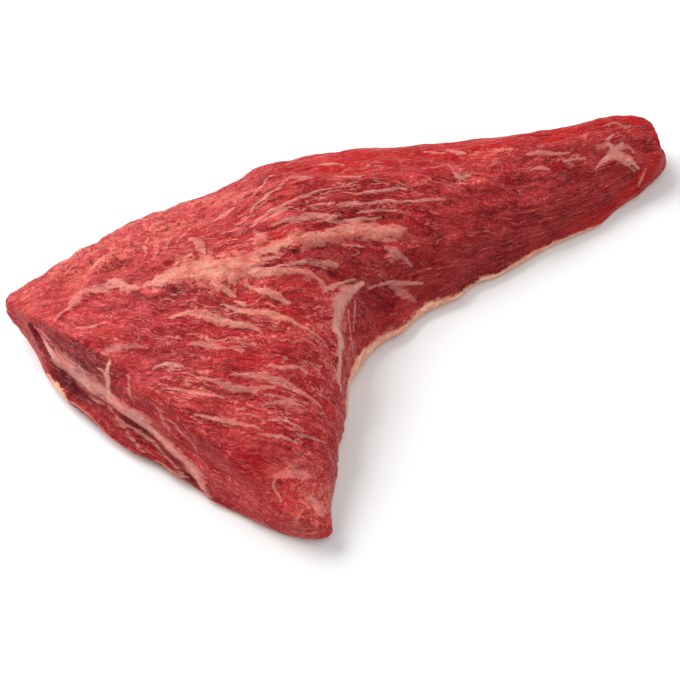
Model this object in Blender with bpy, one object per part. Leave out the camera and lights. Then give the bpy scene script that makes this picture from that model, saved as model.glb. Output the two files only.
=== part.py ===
"""Raw beef tri-tip roast.

The cut is one closed body. It rests on a flat fat side and bends like a boomerang: a broad,
thick base with a cut face on one end, and a long tail that thins to a blunt tip. The body is a
loft through cross-sections that run from the long outer side to the short inner side of the
bend. Each end is closed by a rounded cap, and the muscle relief is pushed out along the normals.
"""
import math
from typing import NamedTuple

import bpy
import numpy as np

MM = 0.001

NODE_NAME = "beef_tri_tip"
COLLECTION_NAME = "raw_beef_tri_tip"
MATERIAL_NAME = "raw_beef"
BEEF_COLOR = (0.42, 0.055, 0.048, 1.0)
BEEF_ROUGHNESS = 0.42


class Station(NamedTuple):
    """One cross-section, with all lengths in millimetres.

    outer and inner are the plan positions of the ends of the section. crest holds the height of
    the upper surface at the outer quarter, the middle and the inner quarter. rim holds the height
    of the widest line at the outer and the inner end. swell holds the roundness of the shoulders.
    """

    outer: tuple
    inner: tuple
    crest: tuple
    rim: tuple
    swell: tuple


STATIONS = (
    Station((-166, 12), (-5, -116), (36, 44, 27), (22, 10), (3.6, 4.2)),
    Station((-122, 47), (-2, -84), (42, 50, 37), (18, 10), (3.2, 3.6)),
    Station((-74, 74), (1, -54), (45, 51, 39), (17, 9), (3.0, 3.4)),
    Station((-26, 98), (4, -28), (46, 46, 33), (16, 7), (3.0, 3.0)),
    Station((19, 106), (18, -5), (42, 39, 24), (15, 6), (2.8, 2.4)),
    Station((56, 111), (46, 16), (38, 35, 21), (14, 5), (2.8, 2.2)),
    Station((90, 117), (82, 38), (35, 31, 19), (13, 5), (2.8, 2.2)),
    Station((122, 125), (120, 65), (32, 27, 18), (12, 5), (2.8, 2.2)),
    Station((150, 135), (157, 91), (26, 22, 16), (10, 5), (2.8, 2.2)),
)

# Mesh density of the loft, and the samples from which even distances are measured.
ROWS_ALONG = 70
TOP_POINTS = 42
LOW_POINTS = 14
BASE_CAP_ROWS = 9
TAIL_CAP_ROWS = 6
SECTION_SAMPLES = 2001
CAP_SAMPLES = 801
LINE_SAMPLES = 12

# The quarter points of a section, where the outer and the inner crest heights are given.
CREST_POINT = 0.75
# How far the underside bows below the widest line before it meets the board, and its squareness.
BELLY_DEPTH = 1.15
BELLY_POWER = 4.0
# The caps shrink towards this share of the crest height.
CAP_AXIS_SHARE = 0.42


class Cap(NamedTuple):
    """A rounded end: how far it stands out, its squareness and how its plan outline swells.

    slant is how far the end leans out for each millimetre of drop from its middle height.
    """

    depth: float
    half_height: float
    squareness: float
    narrowing: float
    plan_inner: float
    plan_outer: float
    plan_skew: float
    slant: float
    side: float
    last_ring: float


BASE_CAP = Cap(17.5, 22.0, 6.0, 4.0, 2.7, 2.4, 0.08, 0.26, -1.0, 0.09)
TAIL_CAP = Cap(23.0, 10.0, 2.4, 3.0, 1.6, 1.7, 0.02, 0.0, 1.0, 0.12)

# The foot of the cut face draws back under the outer corner, which overhangs the board.
FOOT_SETBACK = 9.0
FOOT_SHORTENING = 0.10

# Height over which the relief fades out towards the flat underside.
RELIEF_START = 1.0
RELIEF_FULL = 6.0


class Ridge(NamedTuple):
    """A ridge along a smooth plan line, or a valley where its height is negative."""

    line: tuple
    half_width: float
    height: float


FAT_PATCH = Ridge(((-100, 4), (-73, 6), (-49, 12), (-20, 24), (5, 33), (24, 37)), 9.0, 1.3)
UPPER_VALLEY = Ridge(((-134, 14), (-106, 16), (-92, 26), (-82, 42), (-68, 60)), 6.0, -1.6)
BEND_RIDGE = Ridge(((18, 18), (0, 2), (-6, -8), (-3, -24), (-1, -44)), 7.0, 1.8)
BEND_HOLLOW = Ridge(((34, 22), (16, 6), (10, -6)), 9.0, -2.6)
FRONT_GROOVE = Ridge(((-104, -22), (-72, -22), (-40, -32), (-12, -40)), 4.0, -0.9)
LOWER_GROOVE = Ridge(((-86, -60), (-56, -62), (-24, -70), (-8, -78)), 4.0, -0.7)
TAIL_GROOVE = Ridge(((12, 58), (50, 62), (98, 74), (140, 92)), 4.0, -0.8)
RIDGES = (FAT_PATCH, UPPER_VALLEY, BEND_RIDGE, BEND_HOLLOW, FRONT_GROOVE, LOWER_GROOVE, TAIL_GROOVE)
# The ridges lie on the upper side, where the normal's upward share passes these two values.
UPPER_SIDE_START = 0.1
UPPER_SIDE_FULL = 0.6

# The grain is a fan of shallow ridges across the roast, leaning one way towards the base and the
# other way along the tail.
GRAIN_PITCH = 13.0
GRAIN_HEIGHT = 0.35
GRAIN_LEAN_BASE = 0.16
GRAIN_LEAN_TAIL = -0.30
# Slow swellings of the whole surface: height, wavelength, plan direction in degrees and phase.
SWELLINGS = (
    (0.75, 61.0, 20.0, 0.4),
    (0.60, 43.0, 110.0, 2.1),
    (0.45, 31.0, 65.0, 4.0),
    (0.35, 23.0, -30.0, 1.3),
)


def station_table():
    """Returns the stations as an array with one row of eleven lengths each."""
    return np.array([[value for part in station for value in part] for station in STATIONS], float)


def along(table, places):
    """Interpolates rows of a table with a smooth curve through them, places from 0 to 1."""
    first = 2.0 * table[0] - table[1]
    last = 2.0 * table[-1] - table[-2]
    padded = np.vstack([first, table, last])
    run = np.asarray(places) * (len(table) - 1)
    index = np.clip(run.astype(int), 0, len(table) - 2)
    f = (run - index)[:, None]
    a, b, c, d = padded[index], padded[index + 1], padded[index + 2], padded[index + 3]
    cubic = 3.0 * b - 3.0 * c + d - a
    square = 2.0 * a - 5.0 * b + 4.0 * c - d
    return 0.5 * (2.0 * b + (c - a) * f + square * f**2 + cubic * f**3)


def even_places(count, x, z):
    """Returns count places, 0 to 1 on the samples' index, at even distances along a profile."""
    run = np.concatenate([[0.0], np.cumsum(np.hypot(np.diff(x), np.diff(z)))])
    return np.interp(np.linspace(0.0, run[-1], count), run, np.linspace(0.0, 1.0, len(run)))


def section_heights(row, s_top, s_low):
    """Returns the heights of the upper and of the lower surface across one section."""
    crest_out, crest_mid, crest_in, rim_out, rim_in, swell_out, swell_in = row[4:]
    slope = (crest_out - crest_in) / (2.0 * CREST_POINT)
    bow = ((crest_out + crest_in) / 2.0 - crest_mid) / CREST_POINT**2

    def rim(s):
        return (rim_out + rim_in) / 2.0 + (rim_out - rim_in) / 2.0 * s

    power = np.where(s_top > 0.0, swell_out, swell_in)
    shoulder = np.maximum(1.0 - np.abs(s_top) ** power, 0.0) ** (1.0 / power)
    crest = crest_mid + slope * s_top + bow * s_top**2
    z_top = rim(s_top) + (crest - rim(s_top)) * shoulder
    belly = BELLY_DEPTH * np.maximum(1.0 - np.abs(s_low) ** BELLY_POWER, 0.0) ** (1.0 / BELLY_POWER)
    z_low = np.maximum(rim(s_low) * (1.0 - belly), 0.0)
    return z_top, z_low


def section_ring(row, cap=None, shrink=1.0, reach=0.0, spread=0.0):
    """Returns one closed ring of points; on a cap it is shrunk and moved out by its reach.

    spread moves the points from even distances to the spacing of a circle seen edge on, so that
    upper and lower points face each other where the cap closes.
    """
    half = (row[0:2] - row[2:4]) / 2.0
    centre = (row[0:2] + row[2:4]) / 2.0
    width = math.hypot(*half)
    across = half / width
    dense = np.cos(np.linspace(0.0, math.pi, SECTION_SAMPLES))
    top, low = section_heights(row, dense, dense[::-1])
    index = np.linspace(0.0, 1.0, len(dense))
    at_top = even_places(TOP_POINTS + 1, dense * width, top)
    at_top = (at_top + (np.linspace(0.0, 1.0, TOP_POINTS + 1) - at_top) * spread)[:-1]
    at_low = even_places(LOW_POINTS + 1, dense * width, low)
    at_low = (at_low + (np.linspace(0.0, 1.0, LOW_POINTS + 1) - at_low) * spread)[:-1]
    s = np.concatenate([np.interp(at_top, index, dense), np.interp(at_low, index, dense[::-1])])
    z = np.concatenate([np.interp(at_top, index, top), np.interp(at_low, index, low)])
    if cap is None:
        return np.column_stack([centre + (s * width)[:, None] * across, z])
    slope = (row[4] - row[6]) / (2.0 * CREST_POINT)
    axis = CAP_AXIS_SHARE * (row[5] + slope * s)
    z = axis + (z - axis) * shrink
    low_share = np.clip(1.0 - z / axis, 0.0, 1.0) ** 2
    power = np.where(s > 0.0, cap.plan_outer, cap.plan_inner)
    plan = np.maximum(1.0 - np.abs(s) ** power, 0.0) ** (1.0 / power)
    out = plan * reach * (cap.depth * (1.0 + cap.plan_skew * s) + cap.slant * (axis - z))
    if cap is BASE_CAP:
        outer = np.maximum(s, 0.0)
        out = out - FOOT_SETBACK * outer**4 * low_share * plan * reach
        s = s - FOOT_SHORTENING * outer**6 * low_share * reach
    away = np.array([across[1], -across[0]]) * cap.side
    narrowed = width - (1.0 - shrink) * cap.narrowing
    plan_xy = centre + (s * narrowed)[:, None] * across + out[:, None] * away
    return np.column_stack([plan_xy, z])


def cap_steps(cap, count):
    """Returns the reach and the shrink of each ring of a cap, from the body outwards."""
    end = math.acos(cap.last_ring ** (cap.squareness / 2.0))
    turn = np.linspace(0.0, end, CAP_SAMPLES)
    reach = np.sin(turn) ** (2.0 / cap.squareness)
    shrink = np.cos(turn) ** (2.0 / cap.squareness)
    places = even_places(count + 1, reach * cap.depth, shrink * cap.half_height)
    index = np.linspace(0.0, 1.0, len(turn))
    return np.interp(places, index, reach)[1:], np.interp(places, index, shrink)[1:]


def loft_grid():
    """Returns the loft as an array of rings by points by three, in millimetres."""
    rows = along(station_table(), np.linspace(0.0, 1.0, ROWS_ALONG))
    body = [section_ring(row) for row in rows]
    reach, shrink = cap_steps(BASE_CAP, BASE_CAP_ROWS)
    spread = np.linspace(0.0, 1.0, BASE_CAP_ROWS + 1)[1:]
    base = [section_ring(rows[0], BASE_CAP, k, r, m) for r, k, m in zip(reach, shrink, spread)]
    reach, shrink = cap_steps(TAIL_CAP, TAIL_CAP_ROWS)
    spread = np.linspace(0.0, 1.0, TAIL_CAP_ROWS + 1)[1:]
    tail = [section_ring(rows[-1], TAIL_CAP, k, r, m) for r, k, m in zip(reach, shrink, spread)]
    return np.array(base[::-1] + body + tail)


def grid_normals(grid):
    """Returns the outward unit normals of the grid from its neighbour differences."""
    along_rows = np.gradient(grid, axis=0)
    around = np.roll(grid, -1, axis=1) - np.roll(grid, 1, axis=1)
    normal = np.cross(around, along_rows)
    return normal / np.maximum(np.linalg.norm(normal, axis=2, keepdims=True), 1e-9)


def line_distance(xy, line):
    """Returns the plan distance from each point to a smooth line through its corners."""
    fine = along(np.array(line, float), np.linspace(0.0, 1.0, LINE_SAMPLES * len(line)))
    nearest = np.full(xy.shape[:-1], np.inf)
    for start, end in zip(fine[:-1], fine[1:]):
        edge = end - start
        share = np.clip(((xy - start) @ edge) / (edge @ edge), 0.0, 1.0)
        gap = np.linalg.norm(xy - start - share[..., None] * edge, axis=-1)
        nearest = np.minimum(nearest, gap)
    return nearest


def bump(distance, half_width):
    """Returns a bell that is one on the line and fades over its half width."""
    return np.exp(-((distance / half_width) ** 2))


def smooth_ramp(value, start, full):
    """Returns a smooth step from zero at start to one at full."""
    t = np.clip((value - start) / (full - start), 0.0, 1.0)
    return t * t * (3.0 - 2.0 * t)


def grain_phase(xy):
    """Returns a coordinate that counts the grain ridges, which fan round the inside of the bend."""
    x, y = xy[..., 0], xy[..., 1]
    towards_base = GRAIN_LEAN_BASE * smooth_ramp(-x, -20.0, 120.0)
    along_tail = GRAIN_LEAN_TAIL * smooth_ramp(x, 0.0, 90.0)
    return (y + (towards_base + along_tail) * x) / GRAIN_PITCH


def relief(grid, normals):
    """Returns how far each point moves out along its normal, in millimetres."""
    xy = grid[..., :2]
    height = np.zeros(grid.shape[:2])
    for ridge in RIDGES:
        height += ridge.height * bump(line_distance(xy, ridge.line), ridge.half_width)
    height += GRAIN_HEIGHT * np.sin(2.0 * math.pi * grain_phase(xy))
    height *= smooth_ramp(normals[..., 2], UPPER_SIDE_START, UPPER_SIDE_FULL)
    for size, length, degrees, phase in SWELLINGS:
        angle = math.radians(degrees)
        run = xy[..., 0] * math.cos(angle) + xy[..., 1] * math.sin(angle) + 0.6 * grid[..., 2]
        height += size * np.sin(2.0 * math.pi * run / length + phase)
    return height * smooth_ramp(grid[..., 2], RELIEF_START, RELIEF_FULL)


def zip_ring(first, facing):
    """Closes the slim last ring of a cap with triangles between its upper and lower points."""
    around = TOP_POINTS + LOW_POINTS
    upper = [first + i for i in range(TOP_POINTS + 1)]
    lower = [first + (around - i) % around for i in range(LOW_POINTS + 1)]
    faces = []
    i, j = 0, 0
    while i < TOP_POINTS or j < LOW_POINTS:
        if j == LOW_POINTS or (i < TOP_POINTS and (i + 1) / TOP_POINTS <= (j + 1) / LOW_POINTS):
            face = (upper[i], upper[i + 1], lower[j])
            i += 1
        else:
            face = (upper[i], lower[j + 1], lower[j])
            j += 1
        if len(set(face)) == 3:
            faces.append(face if facing > 0 else face[::-1])
    return faces


def build_mesh():
    """Builds the closed mesh with its origin at the bottom centre of its box."""
    grid = loft_grid()
    normals = grid_normals(grid)
    points = (grid + normals * relief(grid, normals)[..., None]).reshape(-1, 3)
    centre = (points.min(axis=0) + points.max(axis=0)) / 2.0
    points -= (centre[0], centre[1], points[:, 2].min())
    rings, around = grid.shape[:2]
    faces = []
    for i in range(rings - 1):
        for j in range(around):
            k = (j + 1) % around
            faces.append((i * around + j, i * around + k, (i + 1) * around + k, (i + 1) * around + j))
    faces += zip_ring(0, -1)
    faces += zip_ring((rings - 1) * around, 1)
    mesh = bpy.data.meshes.new(NODE_NAME)
    mesh.from_pydata((points * MM).tolist(), [], faces)
    mesh.validate()
    mesh.update()
    mesh.shade_smooth()
    return mesh


def beef_material():
    """Makes the raw meat material."""
    material = bpy.data.materials.new(MATERIAL_NAME)
    material.use_nodes = True
    shader = material.node_tree.nodes["Principled BSDF"]
    shader.inputs["Base Color"].default_value = BEEF_COLOR
    shader.inputs["Roughness"].default_value = BEEF_ROUGHNESS
    shader.inputs["Metallic"].default_value = 0.0
    material.diffuse_color = BEEF_COLOR
    return material


def main():
    """Clears the scene and builds the roast in its own collection."""
    for item in list(bpy.data.objects):
        bpy.data.objects.remove(item, do_unlink=True)
    collection = bpy.data.collections.new(COLLECTION_NAME)
    bpy.context.scene.collection.children.link(collection)
    roast = bpy.data.objects.new(NODE_NAME, build_mesh())
    roast.data.materials.append(beef_material())
    collection.objects.link(roast)


main()
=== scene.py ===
"""A raw beef tri-tip, dressed for the studio.

The roast is one closed skin worked out on a fine grid: a loft through cross-sections, two rounded
ends, and a relief of muscle ridges, fat seams and grain pushed out along the normals. Where the
fat lies and how the tone changes is stored on the skin, and the finish turns it into raw meat.
"""
from __future__ import annotations

import logging
import math
from dataclasses import dataclass, field
from enum import Enum
from typing import Any, Callable, Iterable, Sequence

import bpy
import numpy as np
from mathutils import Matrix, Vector


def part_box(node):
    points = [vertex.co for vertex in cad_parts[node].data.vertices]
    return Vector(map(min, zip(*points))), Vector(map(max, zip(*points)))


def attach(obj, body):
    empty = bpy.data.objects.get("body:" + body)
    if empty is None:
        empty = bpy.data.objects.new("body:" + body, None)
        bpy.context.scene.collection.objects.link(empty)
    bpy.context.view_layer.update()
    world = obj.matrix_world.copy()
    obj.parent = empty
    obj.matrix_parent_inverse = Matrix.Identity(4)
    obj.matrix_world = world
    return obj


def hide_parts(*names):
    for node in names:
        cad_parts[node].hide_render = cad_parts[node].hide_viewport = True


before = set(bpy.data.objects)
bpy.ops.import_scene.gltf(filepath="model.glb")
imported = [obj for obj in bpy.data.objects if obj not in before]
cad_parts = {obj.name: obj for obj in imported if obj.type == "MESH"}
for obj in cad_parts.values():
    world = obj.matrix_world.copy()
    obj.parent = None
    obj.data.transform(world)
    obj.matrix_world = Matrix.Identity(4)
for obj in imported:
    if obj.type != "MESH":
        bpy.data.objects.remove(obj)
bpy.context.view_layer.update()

log = logging.getLogger("tri_tip")

MM = 0.001
NODE = "beef_tri_tip"
BODY = "root"

Plan = tuple[tuple[float, float], ...]
Line = tuple[tuple[float, float, float], ...]
Oval = tuple[float, float, float, float, float]
Spot = tuple[Oval, float]
Colour = tuple[float, float, float, float]


def tint(red: float, green: float, blue: float) -> Colour:
    """Turns a colour in screen values, 0 to 255, into the linear values of a shader.

    Args:
        red, green, blue: The screen values.
    Returns:
        The linear colour with full alpha.
    """
    share = np.array([red, green, blue]) / 255.0
    linear = np.where(share < 0.0404, share / 12.92, ((share + 0.055) / 1.055) ** 2.4)
    return (float(linear[0]), float(linear[1]), float(linear[2]), 1.0)


def ramp(value: np.ndarray, start: float, full: float) -> np.ndarray:
    """Returns a smooth step from zero at start to one at full.

    Args:
        value: The numbers to map.
        start, full: Where the step begins and ends.
    Returns:
        The mapped numbers, t * t * (3 - 2 t) of the clamped share t.
    """
    share = np.clip((value - start) / (full - start), 0.0, 1.0)
    return share * share * (3.0 - 2.0 * share)


def bell(distance: np.ndarray, half_width: float) -> np.ndarray:
    """Returns exp of minus the square of distance over half_width."""
    return np.exp(-((distance / half_width) ** 2))


def heading(degrees: float) -> np.ndarray:
    """Returns the cosine and the sine of an angle, which make a unit vector."""
    return np.array([math.cos(math.radians(degrees)), math.sin(math.radians(degrees))])


def blob(xy: np.ndarray, spot: Oval) -> np.ndarray:
    """Returns a soft oval: a bell of the distance from a centre, with its own length and breadth.

    Args:
        xy: Points in plan, in millimetres.
        spot: Centre x and y, radius along and across, and the turn in degrees.
    Returns:
        One at the centre, fading outwards.
    """
    centre_x, centre_y, along_radius, across_radius, degrees = spot
    along_x, along_y = heading(degrees)
    x, y = xy[..., 0] - centre_x, xy[..., 1] - centre_y
    u = (x * along_x + y * along_y) / along_radius
    v = (y * along_x - x * along_y) / across_radius
    return np.exp(-(u * u + v * v))


def blobs(xy: np.ndarray, spots: Sequence[Spot]) -> np.ndarray:
    """Adds up soft ovals, each times its amount."""
    return sum(amount * blob(xy, spot) for spot, amount in spots)


def smooth_rows(table: np.ndarray, places: np.ndarray) -> np.ndarray:
    """Interpolates the rows of a table with a Catmull-Rom curve.

    Args:
        table: One row of numbers for each knot.
        places: Where to read the curve, 0 at the first knot and 1 at the last.
    Returns:
        One row for each place.
    """
    padded = np.vstack([2.0 * table[0] - table[1], table, 2.0 * table[-1] - table[-2]])
    run = np.asarray(places) * (len(table) - 1)
    index = np.clip(run.astype(int), 0, len(table) - 2)
    f = (run - index)[:, None]
    a, b, c, d = padded[index], padded[index + 1], padded[index + 2], padded[index + 3]
    square = 2.0 * a - 5.0 * b + 4.0 * c - d
    return 0.5 * (2.0 * b + (c - a) * f + square * f**2 + (3.0 * b - 3.0 * c + d - a) * f**3)


class GradientNoise:
    """Seeded gradient noise in three dimensions, worked out for whole arrays."""

    def __init__(self, seed: int) -> None:
        """Shuffles the lattice.

        Args:
            seed: The seed of the shuffle.
        """
        rng = np.random.default_rng(seed)
        self.order = np.tile(rng.permutation(256), 2)
        slopes = rng.normal(size=(256, 3))
        self.slopes = slopes / np.linalg.norm(slopes, axis=1, keepdims=True)

    def at(self, x: np.ndarray, y: np.ndarray, z: np.ndarray) -> np.ndarray:
        """Blends the slopes at the eight corners of each point's cell with a fifth-order fade.

        Args:
            x, y, z: Coordinates, one lattice cell to the unit.
        Returns:
            Noise from about -1 to 1.
        """
        point = np.stack(np.broadcast_arrays(x, y, z), axis=-1).astype(float)
        cell = np.floor(point).astype(int)
        f = point - cell
        fade = f**3 * (f * (f * 6.0 - 15.0) + 10.0)
        total = np.zeros(point.shape[:-1])
        for corner in ((i, j, k) for i in (0, 1) for j in (0, 1) for k in (0, 1)):
            near = (cell + corner) & 255
            pick = self.order[self.order[self.order[near[..., 0]] + near[..., 1]] + near[..., 2]]
            weight = np.prod(np.where(np.array(corner) == 1, fade, 1.0 - fade), axis=-1)
            total += weight * np.sum(self.slopes[pick] * (f - corner), axis=-1)
        return total * 1.6


@dataclass(frozen=True)
class Station:
    """One cross-section of the roast, in millimetres.

    outer and inner are the plan places of its ends, crest the heights of the upper surface at the
    outer quarter, the middle and the inner quarter, rim the heights of its widest line at the two
    ends, and swell the squareness of its two shoulders.
    """

    outer: tuple[float, float]
    inner: tuple[float, float]
    crest: tuple[float, float, float]
    rim: tuple[float, float]
    swell: tuple[float, float]

    def row(self) -> tuple[float, ...]:
        """Returns the eleven numbers in one row."""
        return (*self.outer, *self.inner, *self.crest, *self.rim, *self.swell)


@dataclass(frozen=True)
class End:
    """A rounded end of the loft, in millimetres.

    depth is how far it stands out, squareness and plan give its profile and its outline, slant is
    how far it leans out per millimetre of drop, and side is the way it faces along the loft.
    """

    depth: float
    half_height: float
    squareness: float
    narrowing: float
    plan: tuple[float, float]
    skew: float
    slant: float
    side: float
    rows: int
    last_ring: float


@dataclass
class RoastForm:
    """The large form: a grid of rings round the roast, from the cut face to the tip."""

    stations: tuple[Station, ...] = (
        Station((-166, 12), (-5, -116), (36, 44, 27), (22, 10), (3.6, 4.2)),
        Station((-122, 47), (-2, -84), (42, 50, 37), (18, 10), (3.2, 3.6)),
        Station((-74, 74), (1, -54), (45, 51, 39), (17, 9), (3.0, 3.4)),
        Station((-26, 98), (4, -28), (46, 46, 33), (16, 7), (3.0, 3.0)),
        Station((19, 106), (18, -5), (42, 39, 24), (15, 6), (2.8, 2.4)),
        Station((56, 111), (46, 16), (38, 35, 21), (14, 5), (2.8, 2.2)),
        Station((90, 117), (82, 38), (35, 31, 19), (13, 5), (2.8, 2.2)),
        Station((122, 125), (120, 65), (32, 27, 18), (12, 5), (2.8, 2.2)),
        Station((150, 135), (157, 91), (26, 22, 16), (10, 5), (2.8, 2.2)),
    )
    cut_end: End = End(17.5, 22.0, 6.0, 4.0, (2.7, 2.4), 0.08, 0.26, -1.0, 46, 0.04)
    tip_end: End = End(23.0, 10.0, 2.4, 3.0, (1.6, 1.7), 0.02, 0.0, 1.0, 22, 0.06)
    rows: int = 250
    top_points: int = 231
    low_points: int = 77
    crest_point: float = 0.75
    belly: tuple[float, float] = (1.15, 4.0)
    axis_share: float = 0.42
    foot_setback: float = 9.0
    foot_shortening: float = 0.13
    pulls: tuple[tuple[float, ...], ...] = (
        (-163, 5, 19, 9, 9, -4.2, -0.8), (-165, 14, 28, 7, 9, 3.0, -0.5), (-154, -17, 4, 13, 14, 3.8, 1.2),
        (-107, -63, 4, 14, 14, -2.4, -2.6), (-58, -97, 4, 14, 12, -1.3, -1.6),
        (132, 75, 4, 14, 16, 2.8, -3.0),
        (29, 2, 4, 8, 14, 2.0, -2.0), (70, 30, 4, 9, 12, -1.8, 2.4), (-1, -101, 7, 16, 22, -2.8, 0.0),
        (48, 106, 28, 16, 22, 0.0, 2.4), (-25, 94, 32, 10, 18, 0.0, -1.6), (-112, 52, 24, 20, 20, -1.0, 2.4),
        (166, 129, 18, 8, 14, 2.5, 1.0), (-5, -115, 5, 7, 12, 1.5, -0.5), (-15, -119, 4, 7, 10, 0.0, 1.8),
    )
    knife_lines: tuple[tuple[float, float, float, float], ...] = (
        (175, 110, 27, 2.0), (155, 128.5, 84, 2.0), (168, 104, -40, 2.0))
    trimmed_from: tuple[float, float] = (122.0, 134.0)
    border_from: tuple[float, float] = (122.0, 140.0)
    border_width: tuple[float, float] = (-6.5, -2.5)

    def pull(self, grid: np.ndarray) -> np.ndarray:
        """Pulls soft patches of the loft in plan.

        A patch moves by its last two numbers times a bell of the distance in plan and a bell of
        the height above or below it.

        Args:
            grid: The points of the loft.
        Returns:
            The moved points.
        """
        moved = grid.copy()
        for x, y, z, reach, tall, along_x, along_y in self.pulls:
            share = bell(np.hypot(grid[..., 0] - x, grid[..., 1] - y), reach) * bell(grid[..., 2] - z, tall)
            moved[..., 0] += along_x * share
            moved[..., 1] += along_y * share
        return moved

    def heights(self, row: np.ndarray, s_top: np.ndarray, s_low: np.ndarray) -> tuple[np.ndarray, np.ndarray]:
        """Works out one section: a parabolic crest with superellipse shoulders, and a flat belly.

        Args:
            row: The section's eleven numbers.
            s_top, s_low: Places across it, 1 at the outer end and -1 at the inner end.
        Returns:
            The heights of the upper and of the lower surface.
        """
        crest_out, crest_mid, crest_in, rim_out, rim_in, swell_out, swell_in = row[4:]
        slope = (crest_out - crest_in) / (2.0 * self.crest_point)
        bow = ((crest_out + crest_in) / 2.0 - crest_mid) / self.crest_point**2
        power = np.where(s_top > 0.0, swell_out, swell_in)
        shoulder = np.maximum(1.0 - np.abs(s_top) ** power, 0.0) ** (1.0 / power)
        rim_top = (rim_out + rim_in + (rim_out - rim_in) * s_top) / 2.0
        rim_low = (rim_out + rim_in + (rim_out - rim_in) * s_low) / 2.0
        top = rim_top + (crest_mid + slope * s_top + bow * s_top**2 - rim_top) * shoulder
        depth, power_low = self.belly
        drop = depth * np.maximum(1.0 - np.abs(s_low) ** power_low, 0.0) ** (1.0 / power_low)
        return top, np.maximum(rim_low * (1.0 - drop), 0.0)

    def ring(self, row: np.ndarray, end: End | None = None, shrink: float = 1.0, reach: float = 0.0,
             spread: float = 0.0) -> tuple[np.ndarray, np.ndarray]:
        """Works out one ring at even distances; on an end it shrinks and moves out.

        Args:
            row: The section's eleven numbers.
            end: The rounded end it belongs to, or None on the body.
            shrink: Its height as a share of the section's.
            reach: How far out it lies, as a share of the end's depth.
            spread: How far its points go over to the spacing of a circle seen edge on.
        Returns:
            The points of the ring and their places across the section.
        """
        half, centre = (row[0:2] - row[2:4]) / 2.0, (row[0:2] + row[2:4]) / 2.0
        width = math.hypot(*half)
        across = half / width
        dense = np.cos(np.linspace(0.0, math.pi, 2001))
        top, low = self.heights(row, dense, dense[::-1])
        index = np.linspace(0.0, 1.0, len(dense))
        parts = []
        for count, s_dense, z_dense in ((self.top_points, dense, top), (self.low_points, dense[::-1], low)):
            run = np.concatenate([[0.0], np.cumsum(np.hypot(np.diff(s_dense * width), np.diff(z_dense)))])
            even = np.interp(np.linspace(0.0, run[-1], count + 1), run, index)
            places = (even + (np.linspace(0.0, 1.0, count + 1) - even) * spread)[:-1]
            parts.append((np.interp(places, index, s_dense), np.interp(places, index, z_dense)))
        s = np.concatenate([parts[0][0], parts[1][0]])
        z = np.concatenate([parts[0][1], parts[1][1]])
        if end is None:
            return np.column_stack([centre + (s * width)[:, None] * across, z]), s
        slope = (row[4] - row[6]) / (2.0 * self.crest_point)
        axis = self.axis_share * (row[5] + slope * s)
        z = axis + (z - axis) * shrink
        low_share = np.clip(1.0 - z / axis, 0.0, 1.0) ** 2
        power = np.where(s > 0.0, end.plan[1], end.plan[0])
        plan = np.maximum(1.0 - np.abs(s) ** power, 0.0) ** (1.0 / power)
        out = plan * reach * (end.depth * (1.0 + end.skew * s) + end.slant * (axis - z))
        moved = s
        if end is self.cut_end:
            outer = np.maximum(s, 0.0)
            out = out - self.foot_setback * outer**4 * low_share * plan * reach
            moved = s - self.foot_shortening * outer**6 * low_share * reach
        away = np.array([across[1], -across[0]]) * end.side
        narrowed = width - (1.0 - shrink) * end.narrowing
        return np.column_stack([centre + (moved * narrowed)[:, None] * across + out[:, None] * away, z]), s

    def end_steps(self, end: End) -> Iterable[tuple[float, float, float]]:
        """Walks a superellipse quarter at even distances from the body to the middle of an end.

        Args:
            end: The rounded end.
        Returns:
            The shrink, the reach and the spread of each ring.
        """
        turn = np.linspace(0.0, math.acos(end.last_ring ** (end.squareness / 2.0)), 801)
        reach, shrink = np.sin(turn) ** (2.0 / end.squareness), np.cos(turn) ** (2.0 / end.squareness)
        steps = np.hypot(np.diff(reach * end.depth), np.diff(shrink * end.half_height))
        run = np.concatenate([[0.0], np.cumsum(steps)])
        places = np.linspace(0.0, run[-1], end.rows + 1)[1:]
        spread = np.linspace(0.0, 1.0, end.rows + 1)[1:]
        return zip(np.interp(places, run, shrink), np.interp(places, run, reach), spread)

    def grid(self) -> tuple[np.ndarray, np.ndarray, np.ndarray]:
        """Stacks the rings of the cut end, the body and the tip.

        Returns:
            The points (rings, around, 3), their places across the section, and a number for each
            ring: below 0 on the cut end, 0 to 1 along the body and above 1 on the tip.
        """
        table = np.array([station.row() for station in self.stations], float)
        rows = smooth_rows(table, np.linspace(0.0, 1.0, self.rows))
        cut = [self.ring(rows[0], self.cut_end, k, r, m) for k, r, m in self.end_steps(self.cut_end)][::-1]
        tip = [self.ring(rows[-1], self.tip_end, k, r, m) for k, r, m in self.end_steps(self.tip_end)]
        rings = cut + [self.ring(row) for row in rows] + tip
        station = np.concatenate([np.linspace(-1.0, 0.0, len(cut), endpoint=False),
                                  np.linspace(0.0, 1.0, len(rows)), np.linspace(1.0, 2.0, len(tip) + 1)[1:]])
        return np.array([r[0] for r in rings]), np.array([r[1] for r in rings]), station

    def trim(self, grid: np.ndarray) -> np.ndarray:
        """Trims the tip as with a knife: what lies past a plan line is pressed back onto it.

        The press is soft: the depth d past the line becomes softness * tanh(d / softness) / 3. It
        fades in along the tip.

        Args:
            grid: The points of the loft.
        Returns:
            The trimmed points.
        """
        trimmed = grid.copy()
        for x, y, degrees, softness in self.knife_lines:
            out = heading(degrees)
            past = np.maximum((trimmed[..., :2] - np.array([x, y])) @ out, 0.0)
            back = past - softness * np.tanh(past / softness) / 3.0
            trimmed[..., :2] -= (back * ramp(grid[..., 0], *self.trimmed_from))[..., None] * out
        return trimmed

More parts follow.
